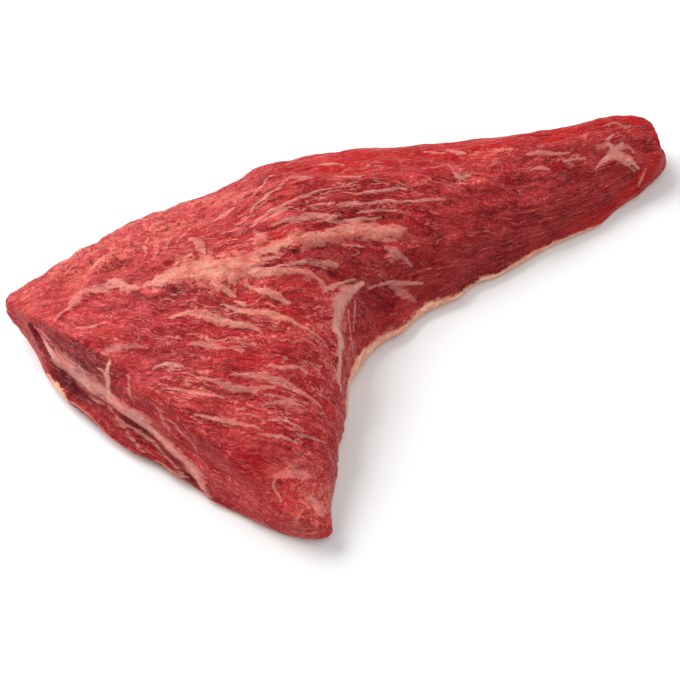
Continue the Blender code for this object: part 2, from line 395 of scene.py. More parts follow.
    def border(self, grid: np.ndarray) -> np.ndarray:
        """Returns 1 along the trimmed edges of the tip and 0 from a few millimetres further in.

        Args:
            grid: The points of the loft.
        """
        past = np.max([(grid[..., :2] - np.array([x, y])) @ heading(degrees)
                       for x, y, degrees, _ in self.knife_lines], axis=0)
        return ramp(past, *self.border_width) * ramp(grid[..., 0], *self.border_from)

    def faces(self, rings: int) -> list[list[int]]:
        """Lists the quads between the rings and the triangles that close the two end rings.

        In a lid every lower point faces three upper ones: four triangles fill each such step, and
        the two that would be slivers at its tips are left out.

        Args:
            rings: How many rings the grid has.
        Returns:
            The corners of each face.
        """
        around = self.top_points + self.low_points
        i, j = np.meshgrid(np.arange(rings - 1) * around, np.arange(around), indexing="ij")
        k = (j + 1) % around
        quads = np.stack([i + j, i + k, i + around + k, i + around + j], axis=-1).reshape(-1, 4)
        step = np.arange(self.low_points)
        low, low_next = (around - step) % around, around - step - 1
        t0, t1, t2, t3 = (3 * step + n for n in range(4))
        lid = np.vstack([np.stack(corners, axis=-1) for corners in
                         ((t0, t1, low), (t1, t2, low), (t2, low_next, low), (t2, t3, low_next))])
        lid = lid[(lid[:, 0] != lid[:, 1]) & (lid[:, 1] != lid[:, 2]) & (lid[:, 0] != lid[:, 2])]
        return quads.tolist() + lid[:, ::-1].tolist() + (lid + (rings - 1) * around).tolist()


def grid_normals(grid: np.ndarray) -> np.ndarray:
    """Returns the outward unit normals of a grid of rings from its neighbours' differences."""
    around = np.roll(grid, -1, axis=1) - np.roll(grid, 1, axis=1)
    normal = np.cross(around, np.gradient(grid, axis=0))
    return normal / np.maximum(np.linalg.norm(normal, axis=2, keepdims=True), 1e-9)


@dataclass
class GrainField:
    """The run of the muscle grain in plan: a smooth sheet through given grain lines.

    Each line carries its own number, so that the sheet counts millimetres across the grain.
    """

    lines: tuple[tuple[float, Plan], ...] = (
        (-108, ((-48, -107), (-28, -109), (-10, -113))),
        (-94, ((-69, -90), (-47, -93), (-23, -95), (-7, -100))),
        (-80, ((-89, -75), (-66, -78), (-38, -81), (-18, -84), (-5, -88))),
        (-66, ((-108, -57), (-85, -61), (-57, -65), (-33, -68), (-14, -70), (-2, -76))),
        (-51, ((-127, -36), (-100, -42), (-71, -49), (-42, -52), (-19, -56), (-1, -62))),
        (-36, ((-145, -9), (-116, -22), (-87, -31), (-57, -37), (-29, -39), (-7, -41), (0, -47))),
        (-20, ((-138, 2), (-107, -7), (-77, -17), (-48, -20), (-24, -22), (-5, -22), (2, -31))),
        (-4, ((-119, 9), (-83, -5), (-49, -6), (-24, -1), (-5, 3), (15, 0), (28, -2))),
        (12, ((-109, 14), (-78, 9), (-49, 11), (-24, 13), (0, 16), (31, 17), (56, 20))),
        (29, ((-94, 20), (-69, 20), (-44, 26), (-20, 33), (10, 41), (46, 40), (94, 46))),
        (49, ((-80, 28), (-60, 37), (-39, 49), (-15, 56), (16, 62), (56, 64), (104, 68), (148, 87))),
        (68, ((-71, 46), (-51, 62), (-30, 70), (0, 78), (41, 84), (94, 87), (138, 100), (166, 108))),
        (84, ((-76, 62), (-56, 69), (-31, 77), (6, 92), (47, 101), (95, 107), (138, 119))),
    )
    stiffness: float = 40.0
    wall_turn: float = 0.85

    def across(self, xy: np.ndarray) -> np.ndarray:
        """Evaluates a thin plate, r * r * log r about each knot plus a plane, fitted to the lines.

        Args:
            xy: Points in plan, in millimetres.
        Returns:
            Millimetres across the grain.
        """
        knots = np.array([p for _, line in self.lines for p in line], float)
        level = np.array([value for value, line in self.lines for _ in line], float)

        def kernel(a: np.ndarray) -> np.ndarray:
            """Returns the plate's bend about each knot."""
            r2 = ((a[:, None, :] - knots[None, :, :]) ** 2).sum(axis=-1) / 1e4
            return r2 * np.log(np.maximum(r2, 1e-9))

        count = len(knots)
        plane = np.column_stack([np.ones(count), knots / 100.0])
        system = np.zeros((count + 3, count + 3))
        system[:count, :count] = kernel(knots) + np.eye(count) * self.stiffness * 1e-4
        system[:count, count:], system[count:, :count] = plane, plane.T
        weights = np.linalg.solve(system, np.concatenate([level, np.zeros(3)]))
        flat = xy.reshape(-1, 2)
        tilt = np.column_stack([np.ones(len(flat)), flat / 100.0])
        return (kernel(flat) @ weights[:count] + tilt @ weights[count:]).reshape(xy.shape[:-1])


NO_FAT = -2.0


class Fat(Enum):
    """The kinds of fat: warmth from grey-pink to cream, and how well it covers the meat."""

    FILM = (0.30, 0.50)
    VEIN = (0.35, 0.68)
    SEAM = (0.20, 0.96)
    FRAYED = (0.26, 0.80)
    CREAM = (0.65, 0.74)
    RIM = (1.0, 0.92)


@dataclass(frozen=True)
class Stroke:
    """A streak of fat along a smooth line; each knot holds its place and half width in millimetres."""

    line: Line
    height: float
    kind: Fat = Fat.VEIN
    least_width: float = 0.5
    spread: float = 0.15

    def depth(self, xy: np.ndarray) -> np.ndarray:
        """Returns 1 on the line, 0 at the streak's edge and less outside, down to -2.

        The distance to the nearest piece of the smooth line is divided by the half width there,
        which has a least value and spreads a little, so that the grid can carry it.

        Args:
            xy: Points in the streak's plane.
        """
        knots = np.array(self.line, float)
        curve = smooth_rows(knots, np.linspace(0.0, 1.0, 4 * (len(knots) - 1) + 1))
        best = np.full(xy.shape[:-1], NO_FAT)
        reach = 3.2 * max(self.breadth(), self.least_width)
        low, high = knots[:, :2].min(axis=0) - reach, knots[:, :2].max(axis=0) + reach
        inside = np.all((xy > low) & (xy < high), axis=-1)
        points = xy[inside]
        value = np.full(len(points), NO_FAT)
        for start, stop in zip(curve[:-1], curve[1:]):
            edge = (stop - start)[:2]
            share = np.clip(((points - start[:2]) @ edge) / (edge @ edge), 0.0, 1.0)
            gap = np.linalg.norm(points - start[:2] - share[:, None] * edge, axis=1)
            width = np.maximum(start[2] + share * (stop[2] - start[2]), self.least_width) + self.spread
            value = np.maximum(value, 1.0 - gap / width)
        best[inside] = value
        return best

    def breadth(self) -> float:
        """Returns the largest half width."""
        return max(width for _, _, width in self.line)


def laid(height: float, kind: Fat, *lines: Line) -> tuple[Stroke, ...]:
    """Returns one stroke for each line, all of one height and kind."""
    return tuple(Stroke(line, height, kind) for line in lines)


@dataclass
class FatMap:
    """Where the fat lies, and where the meat is folded or slit.

    The upper streaks and the folds are laid in plan, the streaks and slits of the cut face along
    it and up. Folds and slits have a height below zero.
    """

    upper: tuple[Stroke, ...] = (
        *laid(1.0, Fat.CREAM,
              ((-96, -2, 1.2), (-87, 0, 5.0), (-79, 3, 8.0), (-71, 5, 10.0), (-64, 5, 10.8), (-57, 5, 10.2),
               (-50, 7, 8.2), (-43, 10, 4.4))),
        *laid(0.6, Fat.CREAM,
              ((-62, -3, 3.4), (-57, -7, 2.3), (-52, -10, 0.8)),
              ((-116, 6, 1.1), (-111, 4, 2.6), (-106, 0, 2.4), (-99, -2, 1.0))),
        *laid(0.7, Fat.CREAM,
              ((-46, 13, 1.8), (-39, 16, 2.4), (-33, 19, 3.2), (-26, 24, 4.6), (-19, 27, 4.6), (-12, 28, 3.6),
               (-5, 33, 4.3), (2, 37, 4.8), (10, 39, 5.2), (18, 40, 5.2), (25, 42, 3.4), (31, 44, 1.4)),
              ((-48, 5, 3.4), (-39, 2, 2.9), (-32, 3, 2.5), (-24, 5, 2.2), (-18, 6, 2.1), (-14, 5, 1.7),
               (-11, 2, 1.6), (-9, -1, 1.0))),
        *laid(0.25, Fat.VEIN,
              ((-44, 11, 0.5), (-37, 12, 1.0), (-31, 13, 0.5)),
              ((-44, 6, 0.5), (-37, 5, 0.7), (-32, 6, 0.6), (-28, 9, 0.4)),
              ((-13, 39, 0.4), (-2, 42, 0.8), (11, 46, 0.9), (20, 49, 0.4)),
              ((0, 28, 0.4), (5, 29, 0.9), (10, 30, 0.4)),
              ((-46, 55, 0.5), (-43, 61, 0.7), (-40, 67, 0.5), (-35, 73, 0.3)),
              ((-46, 43, 0.5), (-41, 51, 0.9), (-36, 57, 0.9), (-32, 63, 0.7), (-29, 67, 0.3)),
              ((-45, 32, 0.7), (-38, 40, 0.8), (-32, 44, 0.9), (-27, 49, 1.0), (-22, 53, 1.1), (-16, 56, 0.9),
               (-12, 59, 0.7), (-5, 61, 0.3)),
              ((-41, 34, 0.4), (-35, 39, 0.7), (-31, 42, 0.8), (-25, 46, 0.3)),
              ((-13, 82, 0.4), (-8, 82, 1.2), (-4, 82, 0.8), (1, 81, 0.3)),
              ((-16, 49, 0.3), (-11, 51, 0.6), (-4, 52, 0.3)),
              ((-4, 72, 0.4), (3, 71, 1.1), (8, 71, 0.9), (11, 72, 0.3)),
              ((0, 59, 0.4), (7, 59, 0.6), (12, 61, 0.6), (18, 63, 0.6), (23, 64, 0.8), (28, 66, 0.8),
               (33, 66, 0.3)),
              ((-3, 50, 0.4), (2, 52, 1.4), (6, 53, 1.3), (11, 54, 0.7), (17, 56, 0.9), (23, 58, 1.0),
               (28, 58, 0.9), (33, 59, 0.3)),
              ((0, 42, 0.3), (6, 45, 0.7), (12, 47, 0.6), (17, 47, 0.3)),
              ((8, 49, 0.3), (14, 51, 0.6), (20, 52, 0.6), (27, 53, 0.3)),
              ((32, 59, 0.3), (37, 60, 0.7), (43, 62, 0.7), (53, 64, 0.3)),
              ((43, 96, 0.4), (48, 96, 0.8), (53, 95, 0.3)),
              ((14, 13, 0.4), (22, 18, 0.6), (29, 20, 1.2), (41, 23, 0.4)),
              ((3, -3, 0.4), (3, -13, 0.5), (3, -22, 0.4)),
              ((6, 3, 0.4), (7, -3, 0.5), (6, -10, 0.4)),
              ((-35, -46, 0.5), (-30, -47, 1.1), (-25, -46, 1.2), (-21, -45, 0.9), (-17, -47, 0.4)),
              ((-90, -48, 0.7), (-85, -46, 1.2), (-80, -47, 0.9), (-75, -48, 0.4)),
              ((-85, -59, 0.4), (-78, -59, 0.8), (-70, -61, 0.9), (-63, -62, 0.7), (-56, -63, 0.3)),
              ((-38, -66, 0.5), (-31, -64, 0.9), (-25, -63, 1.0), (-18, -64, 0.5)),
              ((-37, -61, 0.4), (-32, -61, 0.6), (-24, -62, 0.4)),
              ((-70, -72, 0.5), (-64, -73, 0.9), (-58, -74, 1.1), (-53, -75, 1.3), (-47, -76, 1.0),
               (-39, -77, 0.4)),
              ((-35, -73, 0.4), (-29, -72, 0.7), (-24, -73, 0.6), (-18, -75, 0.3)),
              ((-40, -80, 0.4), (-32, -80, 0.9), (-28, -80, 0.8), (-22, -82, 0.3)),
              ((-22, -78, 0.4), (-16, -78, 0.6), (-8, -78, 0.4)),
              ((-90, -65, 0.5), (-85, -69, 0.8), (-81, -71, 0.8), (-75, -74, 0.7), (-71, -77, 0.7),
               (-63, -82, 0.4)),
              ((-77, -69, 0.5), (-75, -73, 0.8), (-74, -77, 0.5)),
              ((-82, -70, 0.5), (-80, -74, 0.7), (-79, -77, 0.4)),
              ((-72, -77, 0.4), (-68, -82, 0.7), (-62, -88, 0.4)),
              ((96, 94, 0.5), (105, 97, 1.1), (114, 98, 1.1), (120, 100, 0.5)),
              ((55, 97, 0.6), (59, 94, 1.4), (64, 94, 0.8)),
              ((116, 94, 0.5), (123, 97, 0.9), (129, 99, 0.4)),
              ((57, 80, 0.5), (61, 77, 1.2), (66, 79, 0.7)),
              ((98, 86, 0.4), (103, 88, 1.0), (108, 88, 0.5))),
        *laid(0.5, Fat.VEIN,
              ((-32, 7, 0.5), (-25, 10, 0.9), (-18, 13, 1.1), (-12, 14, 1.2), (-6, 16, 2.1), (-3, 16, 1.0))),
        *laid(0.5, Fat.CREAM,
              ((-47, -4, 0.5), (-41, -7, 1.7), (-36, -8, 2.5), (-31, -10, 1.9), (-27, -12, 1.0),
               (-25, -12, 0.4)),
              ((-75, 26, 0.9), (-71, 22, 2.6), (-69, 19, 2.0), (-68, 16, 0.6)),
              ((-84, -21, 0.5), (-77, -20, 1.3), (-72, -20, 1.9), (-67, -21, 2.8), (-61, -23, 2.6),
               (-54, -25, 2.1), (-47, -26, 1.6), (-41, -28, 1.0), (-38, -30, 0.4))),
        *laid(0.3, Fat.VEIN,
              ((-52, -13, 0.6), (-48, -15, 1.4), (-46, -16, 0.5)),
              ((-35, 33, 0.5), (-29, 36, 1.0), (-20, 40, 1.4), (-11, 43, 1.6), (-3, 44, 0.5)),
              ((-69, -54, 0.7), (-61, -56, 1.3), (-56, -58, 1.4), (-50, -59, 1.5), (-43, -59, 1.5),
               (-38, -58, 1.2), (-32, -57, 0.6))),
        *laid(0.4, Fat.CREAM,
              ((-82, 16, 0.8), (-78, 15, 1.8), (-74, 15, 0.8)),
              ((-11, 4, 0.8), (-8, 1, 1.4), (-2, 7, 0.8), (6, 13, 0.5)),
              ((-59, -15, 0.5), (-54, -17, 1.3), (-49, -19, 1.7), (-43, -19, 1.9), (-37, -19, 2.1),
               (-32, -20, 2.2), (-27, -21, 1.7), (-23, -23, 1.1), (-17, -25, 0.7), (-10, -29, 0.4))),
        *laid(0.4, Fat.FILM,
              ((-44, 30, 0.8), (-40, 27, 3.0), (-40, 24, 2.6), (-43, 21, 1.2)),
              ((-98, 19, 0.5), (-98, 24, 0.9), (-100, 29, 0.5)),
              ((-126, 18, 0.5), (-121, 22, 1.2), (-115, 26, 0.6)),
              ((-66, 38, 0.5), (-60, 43, 1.3), (-54, 46, 0.6)),
              ((-88, 20, 0.5), (-86, 25, 0.8), (-84, 31, 0.5)),
              ((-103, 21, 0.5), (-105, 27, 0.7), (-108, 31, 0.5)),
              ((-82, 24, 0.5), (-79, 30, 0.7), (-76, 36, 0.5)),
              ((21, 33, 1.2), (25, 31, 2.9), (28, 32, 2.2), (31, 31, 1.5), (35, 29, 0.6))),
        *laid(1.0, Fat.FILM,
              ((-140, -17, 0.6), (-135, -11, 1.6), (-131, -5, 2.6), (-127, 0, 3.4), (-120, 2, 3.2),
               (-112, 2, 1.5))),
        *laid(0.3, Fat.FILM,
              ((-129, -22, 0.5), (-122, -23, 1.0), (-115, -21, 0.5)),
              ((-28, 69, 0.8), (-24, 70, 1.8), (-20, 69, 2.2), (-15, 68, 0.8)),
              ((-26, 36, 1.2), (-21, 39, 2.0), (-16, 41, 2.0), (-12, 42, 1.4), (-7, 43, 1.0), (-3, 43, 0.3)),
              ((26, 18, 1.3), (31, 17, 2.3), (36, 16, 1.5), (39, 15, 0.5)),
              ((-72, -36, 1.2), (-66, -37, 2.2), (-61, -38, 1.8), (-56, -38, 0.6)),
              ((-117, -40, 0.8), (-112, -37, 2.0), (-107, -36, 1.9), (-100, -36, 1.6), (-93, -37, 0.6)),
              ((-32, -98, 0.8), (-26, -96, 2.2), (-21, -95, 2.6), (-15, -96, 0.9)),
              ((-31, -99, 0.4), (-32, -103, 0.8), (-29, -108, 0.6), (-29, -113, 0.4))),
        *laid(0.5, Fat.FILM,
              ((-94, 16, 0.5), (-92, 22, 0.8), (-92, 27, 0.5))),
        *laid(0.8, Fat.SEAM,
              ((10, 13, 0.8), (5, 8, 2.0), (0, 2, 3.0), (-3, -5, 3.2), (-4, -12, 2.6), (-5, -19, 1.9),
               (-4, -26, 1.5), (-4, -33, 1.1), (-3, -40, 1.1), (-1, -48, 0.7))),
        *laid(0.35, Fat.VEIN,
              ((-54, -53, 0.6), (-46, -52, 1.4), (-40, -52, 2.1), (-34, -53, 2.2), (-30, -54, 2.0),
               (-24, -55, 1.9), (-19, -57, 1.6), (-15, -59, 1.0), (-10, -62, 0.4))),
        *laid(0.4, Fat.VEIN,
              ((-17, -106, 0.9), (-14, -106, 2.1), (-12, -109, 2.6), (-10, -112, 0.9))),
        *laid(0.2, Fat.FRAYED,
              ((134, 94, 0.4), (138, 99, 1.0), (143, 104, 2.0), (146, 107, 2.0), (149, 111, 0.8)),
              ((141, 109, 1.0), (146, 105, 2.4), (151, 103, 2.2), (157, 100, 0.7))),
        *laid(0.2, Fat.VEIN,
              ((142, 103, 0.5), (149, 101, 0.9), (155, 98, 0.4)),
              ((148, 108, 1.0), (152, 110, 1.0), (155, 107, 0.5)),
              ((136, 106, 1.6), (139, 108, 1.5), (141, 111, 1.1), (144, 115, 0.5))),
        *laid(0.2, Fat.FILM,
              ((139, 119, 0.4), (145, 122, 0.7), (151, 121, 0.9), (154, 122, 0.4)),
              ((161, 100, 0.4), (159, 96, 0.6), (157, 93, 0.4))),
    )
    face: tuple[Stroke, ...] = (
        *laid(0.8, Fat.SEAM,
              ((34, 30, 0.6), (40, 28, 2.4), (47, 26, 4.6), (54, 25, 6.0), (61, 24, 6.6), (69, 25, 5.8),
               (75, 26, 4.8), (82, 26, 3.9), (91, 25, 3.2), (98, 24, 3.4), (104, 22, 3.6), (109, 21, 3.2),
               (116, 20, 3.0), (124, 18, 3.0), (133, 15, 3.0), (141, 10, 2.6), (148, 4, 1.6), (153, 1, 0.8))),
        *laid(0.4, Fat.SEAM,
              ((82, 27, 2.0), (80, 33, 1.2), (78, 39, 1.1), (77, 44, 0.7))),
        *laid(0.3, Fat.SEAM,
              ((80, 34, 0.9), (76, 37, 0.8), (72, 37, 0.4))),
        *laid(0.3, Fat.FILM,
              ((27, 29, 0.4), (33, 31, 0.7), (41, 32, 0.4))),
        *laid(0.4, Fat.FILM,
              ((88, 42, 0.4), (91, 40, 0.8), (93, 36, 0.9), (97, 33, 0.4)),
              ((107, 39, 0.4), (112, 35, 0.8), (114, 31, 0.9), (119, 27, 0.4)),
              ((112, 33, 0.4), (119, 33, 0.8), (124, 30, 0.9), (131, 29, 0.7), (135, 26, 0.4))),
        *laid(0.25, Fat.VEIN,
              ((72, 17, 0.5), (83, 19, 0.9), (96, 13, 0.9), (107, 8, 0.5)),
              ((58, 7, 0.5), (72, 8, 0.8), (87, 6, 0.8), (98, 4, 0.5)),
              ((92, 17, 0.4), (108, 14, 0.8), (124, 10, 0.7), (134, 7, 0.4)),
              ((112, 6, 0.4), (126, 7, 0.7), (140, 3, 0.5))),
        *laid(0.3, Fat.RIM,
              ((41, 9, 1.0), (46, 7, 2.4), (52, 7, 2.6), (58, 6, 1.0))),
    )
    folds: tuple[Stroke, ...] = (
        *laid(-2.2, Fat.VEIN,
              ((-124, 14, 1.0), (-114, 17, 2.0), (-106, 17, 2.2), (-104, 14, 2.0), (-97, 10, 1.8),
               (-89, 9, 1.8), (-84, 13, 1.5), (-76, 17, 0.8))),
        *laid(-0.8, Fat.VEIN,
              ((-116, 24, 0.7), (-108, 27, 1.2), (-101, 31, 1.3), (-95, 33, 0.7)),
              ((-92, 33, 0.6), (-85, 39, 1.3), (-77, 44, 1.4), (-68, 50, 0.7)),
              ((-140, 10, 0.6), (-134, 14, 1.2), (-127, 20, 1.2), (-122, 24, 0.6)),
              ((-108, -2, 0.6), (-101, -6, 1.3), (-94, -10, 1.3), (-88, -12, 0.6)),
              ((-50, 54, 0.6), (-44, 57, 1.2), (-38, 59, 1.4), (-31, 62, 1.4), (-18, 65, 0.6)),
              ((-49, 40, 0.6), (-43, 44, 1.3), (-38, 48, 1.5), (-29, 53, 0.7))),
        *laid(-0.9, Fat.VEIN,
              ((-130, 5, 0.8), (-124, 4, 2.2), (-118, 3, 1.0)),
              ((-57, 29, 0.7), (-47, 30, 1.7), (-41, 30, 1.7), (-30, 33, 0.7)),
              ((-22, 27, 0.8), (-14, 34, 1.4), (-7, 38, 1.8), (4, 44, 1.4), (14, 47, 1.2), (30, 50, 0.6)),
              ((-46, 4, 0.7), (-38, 7, 1.4), (-31, 8, 1.5), (-21, 11, 0.9))),
        *laid(-1.1, Fat.VEIN,
              ((-89, -11, 0.8), (-78, -6, 2.0), (-68, -8, 2.6), (-62, -13, 2.2), (-57, -17, 0.8)),
              ((-24, 17, 0.8), (-18, 22, 1.7), (-10, 25, 1.9), (3, 31, 2.0), (12, 33, 1.8), (20, 34, 0.8))),
        *laid(-0.6, Fat.VEIN,
              ((-120, -11, 0.6), (-112, -12, 1.4), (-104, -12, 0.6)),
              ((-32, -100, 0.5), (-27, -102, 1.0), (-23, -102, 1.0), (-18, -101, 0.5)),
              ((-18, -104, 0.5), (-18, -108, 0.9), (-20, -112, 0.5))),
        *laid(-1.2, Fat.VEIN,
              ((-17, 14, 0.8), (-10, 12, 1.8), (-2, 10, 2.0), (5, 11, 0.9))),
        *laid(-0.7, Fat.VEIN,
              ((-11, -108, 0.5), (-9, -111, 1.0), (-6, -115, 0.6))),
        *laid(-0.5, Fat.VEIN,
              ((-28, -112, 0.5), (-23, -114, 1.0), (-17, -113, 0.5)),
              ((-26, -85, 0.5), (-21, -87, 1.0), (-17, -86, 0.5))),
    )
    slits: tuple[Stroke, ...] = (
        *laid(-2.6, Fat.VEIN,
              ((24, 26, 1.8), (32, 22, 3.2), (42, 17, 3.8), (51, 14, 3.6), (61, 13, 3.0), (72, 13, 1.8))),
        *laid(-1.0, Fat.VEIN,
              ((92, 20, 1.8), (110, 15, 2.3), (128, 10, 2.5), (142, 5, 2.0))),
    )


@dataclass
class Skin:
    """The grid of the skin and what is known at its points, in millimetres.

    s is the place across the section, 1 at the far side, and cut is one on the cut face. place
    says how far along the cut face, up it and out of it a point lies, and grain how far along the
    grain, across it and up.
    """

    points: np.ndarray
    normals: np.ndarray
    s: np.ndarray
    cut: np.ndarray
    place: np.ndarray
    grain: np.ndarray

    def xyz(self) -> tuple[np.ndarray, ...]:
        """Returns the three coordinates of the points."""
        return self.points[..., 0], self.points[..., 1], self.points[..., 2]


@dataclass(frozen=True)
class Ridge:
    """A ridge, or a valley where its height is below zero, along a smooth line in plan."""

    line: Plan
    half_width: float
    height: float

    def relief(self, xy: np.ndarray) -> np.ndarray:
        """Returns the height times a bell of the distance to the line.

        Args:
            xy: Points in plan, in millimetres.
        """
        knots = np.array(self.line, float)
        curve = smooth_rows(knots, np.linspace(0.0, 1.0, 4 * len(knots)))
        nearest = np.full(xy.shape[:-1], np.inf)
        for start, stop in zip(curve[:-1], curve[1:]):
            edge = stop - start
            share = np.clip(((xy - start) @ edge) / (edge @ edge), 0.0, 1.0)
            nearest = np.minimum(nearest, np.linalg.norm(xy - start - share[..., None] * edge, axis=-1))
        return self.height * bell(nearest, self.half_width)


@dataclass
class Relief:
    """The muscle's own relief: ridges, broad swellings, grain, flakes at the bend and layers."""

    ridges: tuple[Ridge, ...] = (
        Ridge(((-100, 4), (-73, 6), (-49, 12), (-20, 24), (5, 33), (24, 37)), 9.0, 1.3),
        Ridge(((-134, 14), (-106, 16), (-92, 26), (-82, 42), (-68, 60)), 6.0, -1.6),
        Ridge(((-122, 9), (-112, 9), (-104, 6), (-97, 2)), 4.0, 1.4),
        Ridge(((18, 18), (0, 2), (-6, -8), (-3, -24), (-1, -44)), 7.0, 1.8),
        Ridge(((34, 22), (16, 6), (10, -6)), 9.0, -2.6),
        Ridge(((-104, -22), (-72, -22), (-40, -32), (-12, -40)), 4.0, -0.9),
        Ridge(((-86, -60), (-56, -62), (-24, -70), (-8, -78)), 4.0, -0.7),
        Ridge(((12, 58), (50, 62), (98, 74), (140, 92)), 4.0, -0.8),
    )
    swellings: tuple[tuple[float, float, float, float], ...] = (
        (0.75, 61, 20, 0.4), (0.60, 43, 110, 2.1), (0.45, 31, 65, 4.0), (0.35, 23, -30, 1.3))
    knobbly: tuple[Spot, ...] = (((-62, 8, 46, 18, 18), 0.8), ((-105, 36, 60, 24, 25), 1.7))

    def broad(self, skin: Skin) -> np.ndarray:
        """Returns the relief that the solid has too: bells along lines and four sine swellings.

        Args:
            skin: The grid.
        Returns:
            How far each point moves out, in millimetres.
        """
        (x, y, z), plan = skin.xyz(), skin.points[..., :2]
        height = sum(ridge.relief(plan) for ridge in self.ridges)
        lean = 0.16 * ramp(-x, -20.0, 120.0) - 0.30 * ramp(x, 0.0, 90.0)
        height = height + 0.35 * np.sin(2.0 * math.pi * (y + lean * x) / 13.0)
        height = height * ramp(skin.normals[..., 2], 0.1, 0.6)
        for size, length, degrees, phase in self.swellings:
            run = plan @ heading(degrees) + 0.6 * z
            height = height + size * np.sin(2.0 * math.pi * run / length + phase)
        return height

    def fine(self, skin: Skin, loose: np.ndarray) -> np.ndarray:
        """Returns lumps, fibre bundles stretched along the grain, flakes and the cut's layers.

        Each noise has its seed, and its cells in millimetres as the divisors: a bundle's cell is
        11 mm along the grain and 2.7 mm across it. A flake is a saw tooth across the grain, bent
        by noise, that stands up on its lower side. Knobs stand on the patch of fat and on the
        lumpy meat at the upper left. The lip is two bells at the foot of the cut face.

        Args:
            skin: The grid.
            loose: One where the strands make flakes.
        Returns:
            How far each point moves out, in millimetres.
        """
        (x, y, z), cut = skin.xyz(), skin.cut
        phi, psi = skin.grain[..., 0], skin.grain[..., 1]
        u, v = skin.place[..., 0], skin.place[..., 1]
        smooth = 0.6 * ramp(skin.s, 0.6, 0.95)
        lumps = (0.9 * GradientNoise(3).at(x / 27, y / 21, z / 21)
                 + 0.45 * GradientNoise(4).at(x / 9, y / 8, z / 8))
        bend = GradientNoise(5).at(x / 16, y / 16, z / 16)
        bundles = GradientNoise(6).at(phi / 11, (psi + 1.6 * bend) / 2.7, z / 14)
        threads = GradientNoise(7).at(phi / 6, (psi + 1.2 * bend) / 1.7, z / 9)
        saw = (-psi / 5.6 + 0.8 * bend + 0.5 * GradientNoise(8).at(phi / 14, psi / 6, z / 9)) % 1.0
        flakes = (saw**1.6 * ramp(1.0 - saw, 0.0, 0.18) - 0.3)
        knobs = GradientNoise(11).at(x / 6, y / 6, z / 6) + 0.5 * GradientNoise(14).at(x / 3, y / 3, z / 3)
        rough = 0.35 + blobs(skin.points, self.knobbly)
        top = 0.42 * bundles + 0.20 * threads + 0.9 * flakes * loose + 0.55 * knobs * rough
        layers = (0.75 * GradientNoise(9).at(u / 26, v / 3.4, u / 40)
                  + 0.35 * GradientNoise(10).at(u / 9, v / 1.8, u / 30))
        edge = bell(v - 41.0, 6.0) * ramp(cut, 0.0, 0.3) * 1.4 * GradientNoise(15).at(u / 13, v / 20, u * 0.0)
        lip = (4.5 * bell(u - 54.0, 20.0) * bell(v - 6.0, 8.0)
               + 1.5 * bell(u - 100.0, 40.0) * bell(v - 5.0, 5.0))
        face = layers + edge + 0.3 * knobs
        return lip * cut + lumps * (1.0 - smooth) + top * (1.0 - cut) + face * cut


